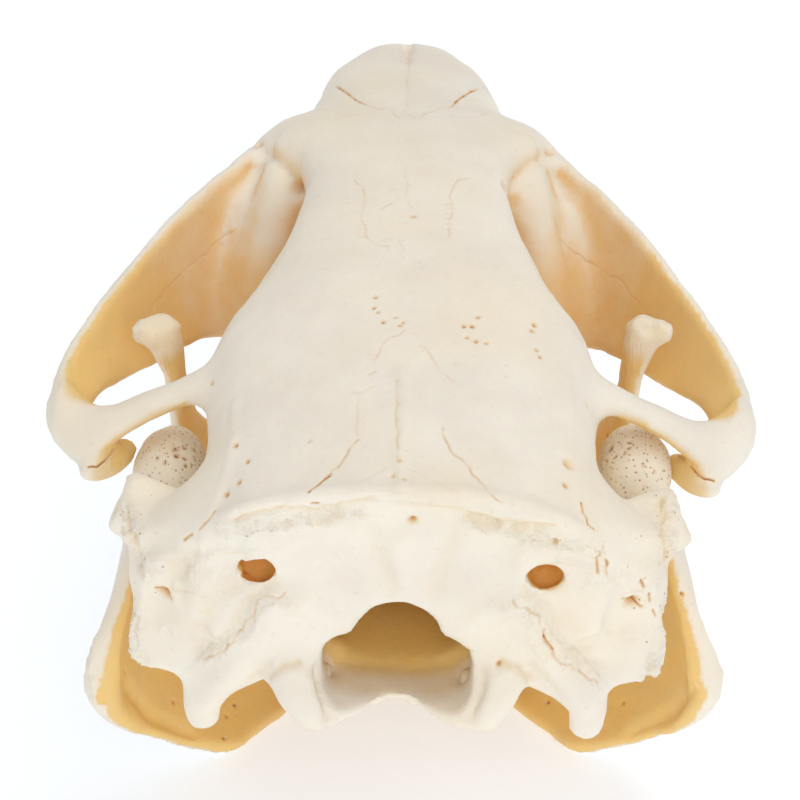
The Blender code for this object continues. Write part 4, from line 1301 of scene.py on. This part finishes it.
def makeCrown(x, y, long, wide, upper):
    # one crown in the skull's frame on the animal's right; its folds open to the outside above and to
    # the inside below
    high = cheekTeeth["high"]
    bpy.ops.object.select_all(action="DESELECT")
    bpy.ops.mesh.primitive_cylinder_add(vertices=64, radius=1.0, depth=high)
    crown = bpy.context.object
    points = vertexArray(crown)
    half, deep = wide / 2 + cheekTeeth["proud"], long / 2 - cheekTeeth["gap"]
    # from a round to a rounded square
    for axis, size in ((0, half), (1, deep)):
        points[:, axis] = size * np.sign(points[:, axis]) * np.sqrt(np.abs(points[:, axis]))
    putVertices(crown, points)
    addModifier(crown, "REMESH", mode="VOXEL", voxel_size=cheekTeeth["voxel"])
    addModifier(crown, "SMOOTH", factor=smoothing, iterations=cheekTeeth["rounds"])
    applyModifiers(crown)
    points = vertexArray(crown)
    outside = 1 if upper else -1
    across, along = points[:, 0] * outside / half, points[:, 1] / deep
    place, end = cheekTeeth["innerFold"]
    toFold = np.hypot((along - place) * deep, np.maximum(across - end, 0) * half)
    for place, end in cheekTeeth["folds"]:
        toFold = np.minimum(toFold, np.hypot((along - place) * deep, np.minimum(across - end, 0) * half))
    toEdge = (1 - np.sqrt(np.sqrt(across**4 + along**4))) * min(half, deep)
    atFold, atEdge = cheekTeeth["ridge"]["fold"], cheekTeeth["ridge"]["edge"]
    ridge = np.maximum(bell(toFold, *atFold), bell(toEdge, *atEdge))
    valley = bell(toFold, 0.0, cheekTeeth["valley"]["wide"])
    worn = smoothStep(cheekTeeth["worn"]["from"], 1.0, points[:, 2] / (high / 2))
    side = 1 - worn
    low = cheekTeeth["valley"]["deep"] * valley + cheekTeeth["worn"]["low"]
    points[:, 2] += worn * (cheekTeeth["ridge"]["high"] * ridge - low)
    points[:, :2] *= (1 - side * cheekTeeth["valley"]["side"] * valley)[:, None]
    putVertices(crown, points)
    plain, less = cheekTeeth["enamelSide"]
    putAttribute(crown, "enamel", worn * ridge + side * (plain - less * valley))
    everywhere, onTop = cheekTeeth["stains"]
    putAttribute(crown, "stain", valley * (everywhere + onTop * worn))
    # the worn face points down above and up below
    down = -1 if upper else 1
    face = -cheekTeeth["faceRoom"] if upper else cheekTeeth["faceRoom"] - cheekTeeth["bite"]
    shift = Matrix.Translation((x, y, face - down * high / 2))
    crown.data.transform(shift @ Matrix.Diagonal((1, 1, down, 1)))
    if upper:
        crown.data.flip_normals()
    return crown


def makeCheekRow(upper, side):
    name = ("upper" if upper else "lower") + "_cheek_teeth_" + side
    row = joined(name, [makeCrown(*tooth, upper) for tooth in toothRow()])
    if side == "left":
        row.data.transform(Matrix.Diagonal((-1, 1, 1, 1)))
        row.data.flip_normals()
    row.data.transform(craniumToWorld if upper else jawToWorld)
    dress(row, name, cheekMaterial)
    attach(row, "root")


for side in ("right", "left"):
    makeCheekRow(True, side)
    makeCheekRow(False, side)
print("cheek teeth done")


# Floor and light
studio = {
    "floor": 12.0,
    "paper": (0.68, 0.68, 0.69),
    "glow": 0.48,  # the lit sweep of paper under and behind the skull
    "glowColour": (0.92, 1.0, 1.08),
    "paperRoughness": 0.9,
    "room": 0.6,
    "aim": (0, 0, 0.03),
    "lights": {
        "top soft box": ((0.25, 0.1, 0.85), 0.6, 1.7),  # place, size and watts
        "back soft box": ((0.12, -0.85, 0.5), 0.6, 2.0),
    },
}


def makeFloor():
    bpy.ops.object.select_all(action="DESELECT")
    bpy.ops.mesh.primitive_plane_add(size=studio["floor"], location=(0, 0, 0))
    floor = bpy.context.object
    floor.name = "floor"
    # White paper sweep, lit so that it stays white round the shadow
    material, tree, shader = newMaterial("white paper sweep")
    shader.inputs["Base Color"].default_value = (*studio["paper"], 1)
    shader.inputs["Emission Color"].default_value = (*studio["glowColour"], 1)
    shader.inputs["Emission Strength"].default_value = studio["glow"]
    shader.inputs["Roughness"].default_value = studio["paperRoughness"]
    floor.data.materials.append(material)


def makeStudio():
    world = bpy.data.worlds.new("soft white room")
    bpy.context.scene.world = world
    world.use_nodes = True
    background = world.node_tree.nodes["Background"]
    background.inputs["Color"].default_value = (1, 1, 1, 1)
    background.inputs["Strength"].default_value = studio["room"]
    for name, (spot, size, power) in studio["lights"].items():
        data = bpy.data.lights.new(name, "AREA")
        data.shape, data.size, data.energy = "SQUARE", size, power
        light = linked(name, data)
        light.location = spot
        light.rotation_euler = (Vector(studio["aim"]) - Vector(spot)).to_track_quat("-Z", "Y").to_euler()
    bpy.context.scene.view_settings.view_transform = "Standard"


makeFloor()
makeStudio()
print("floor and light placed")
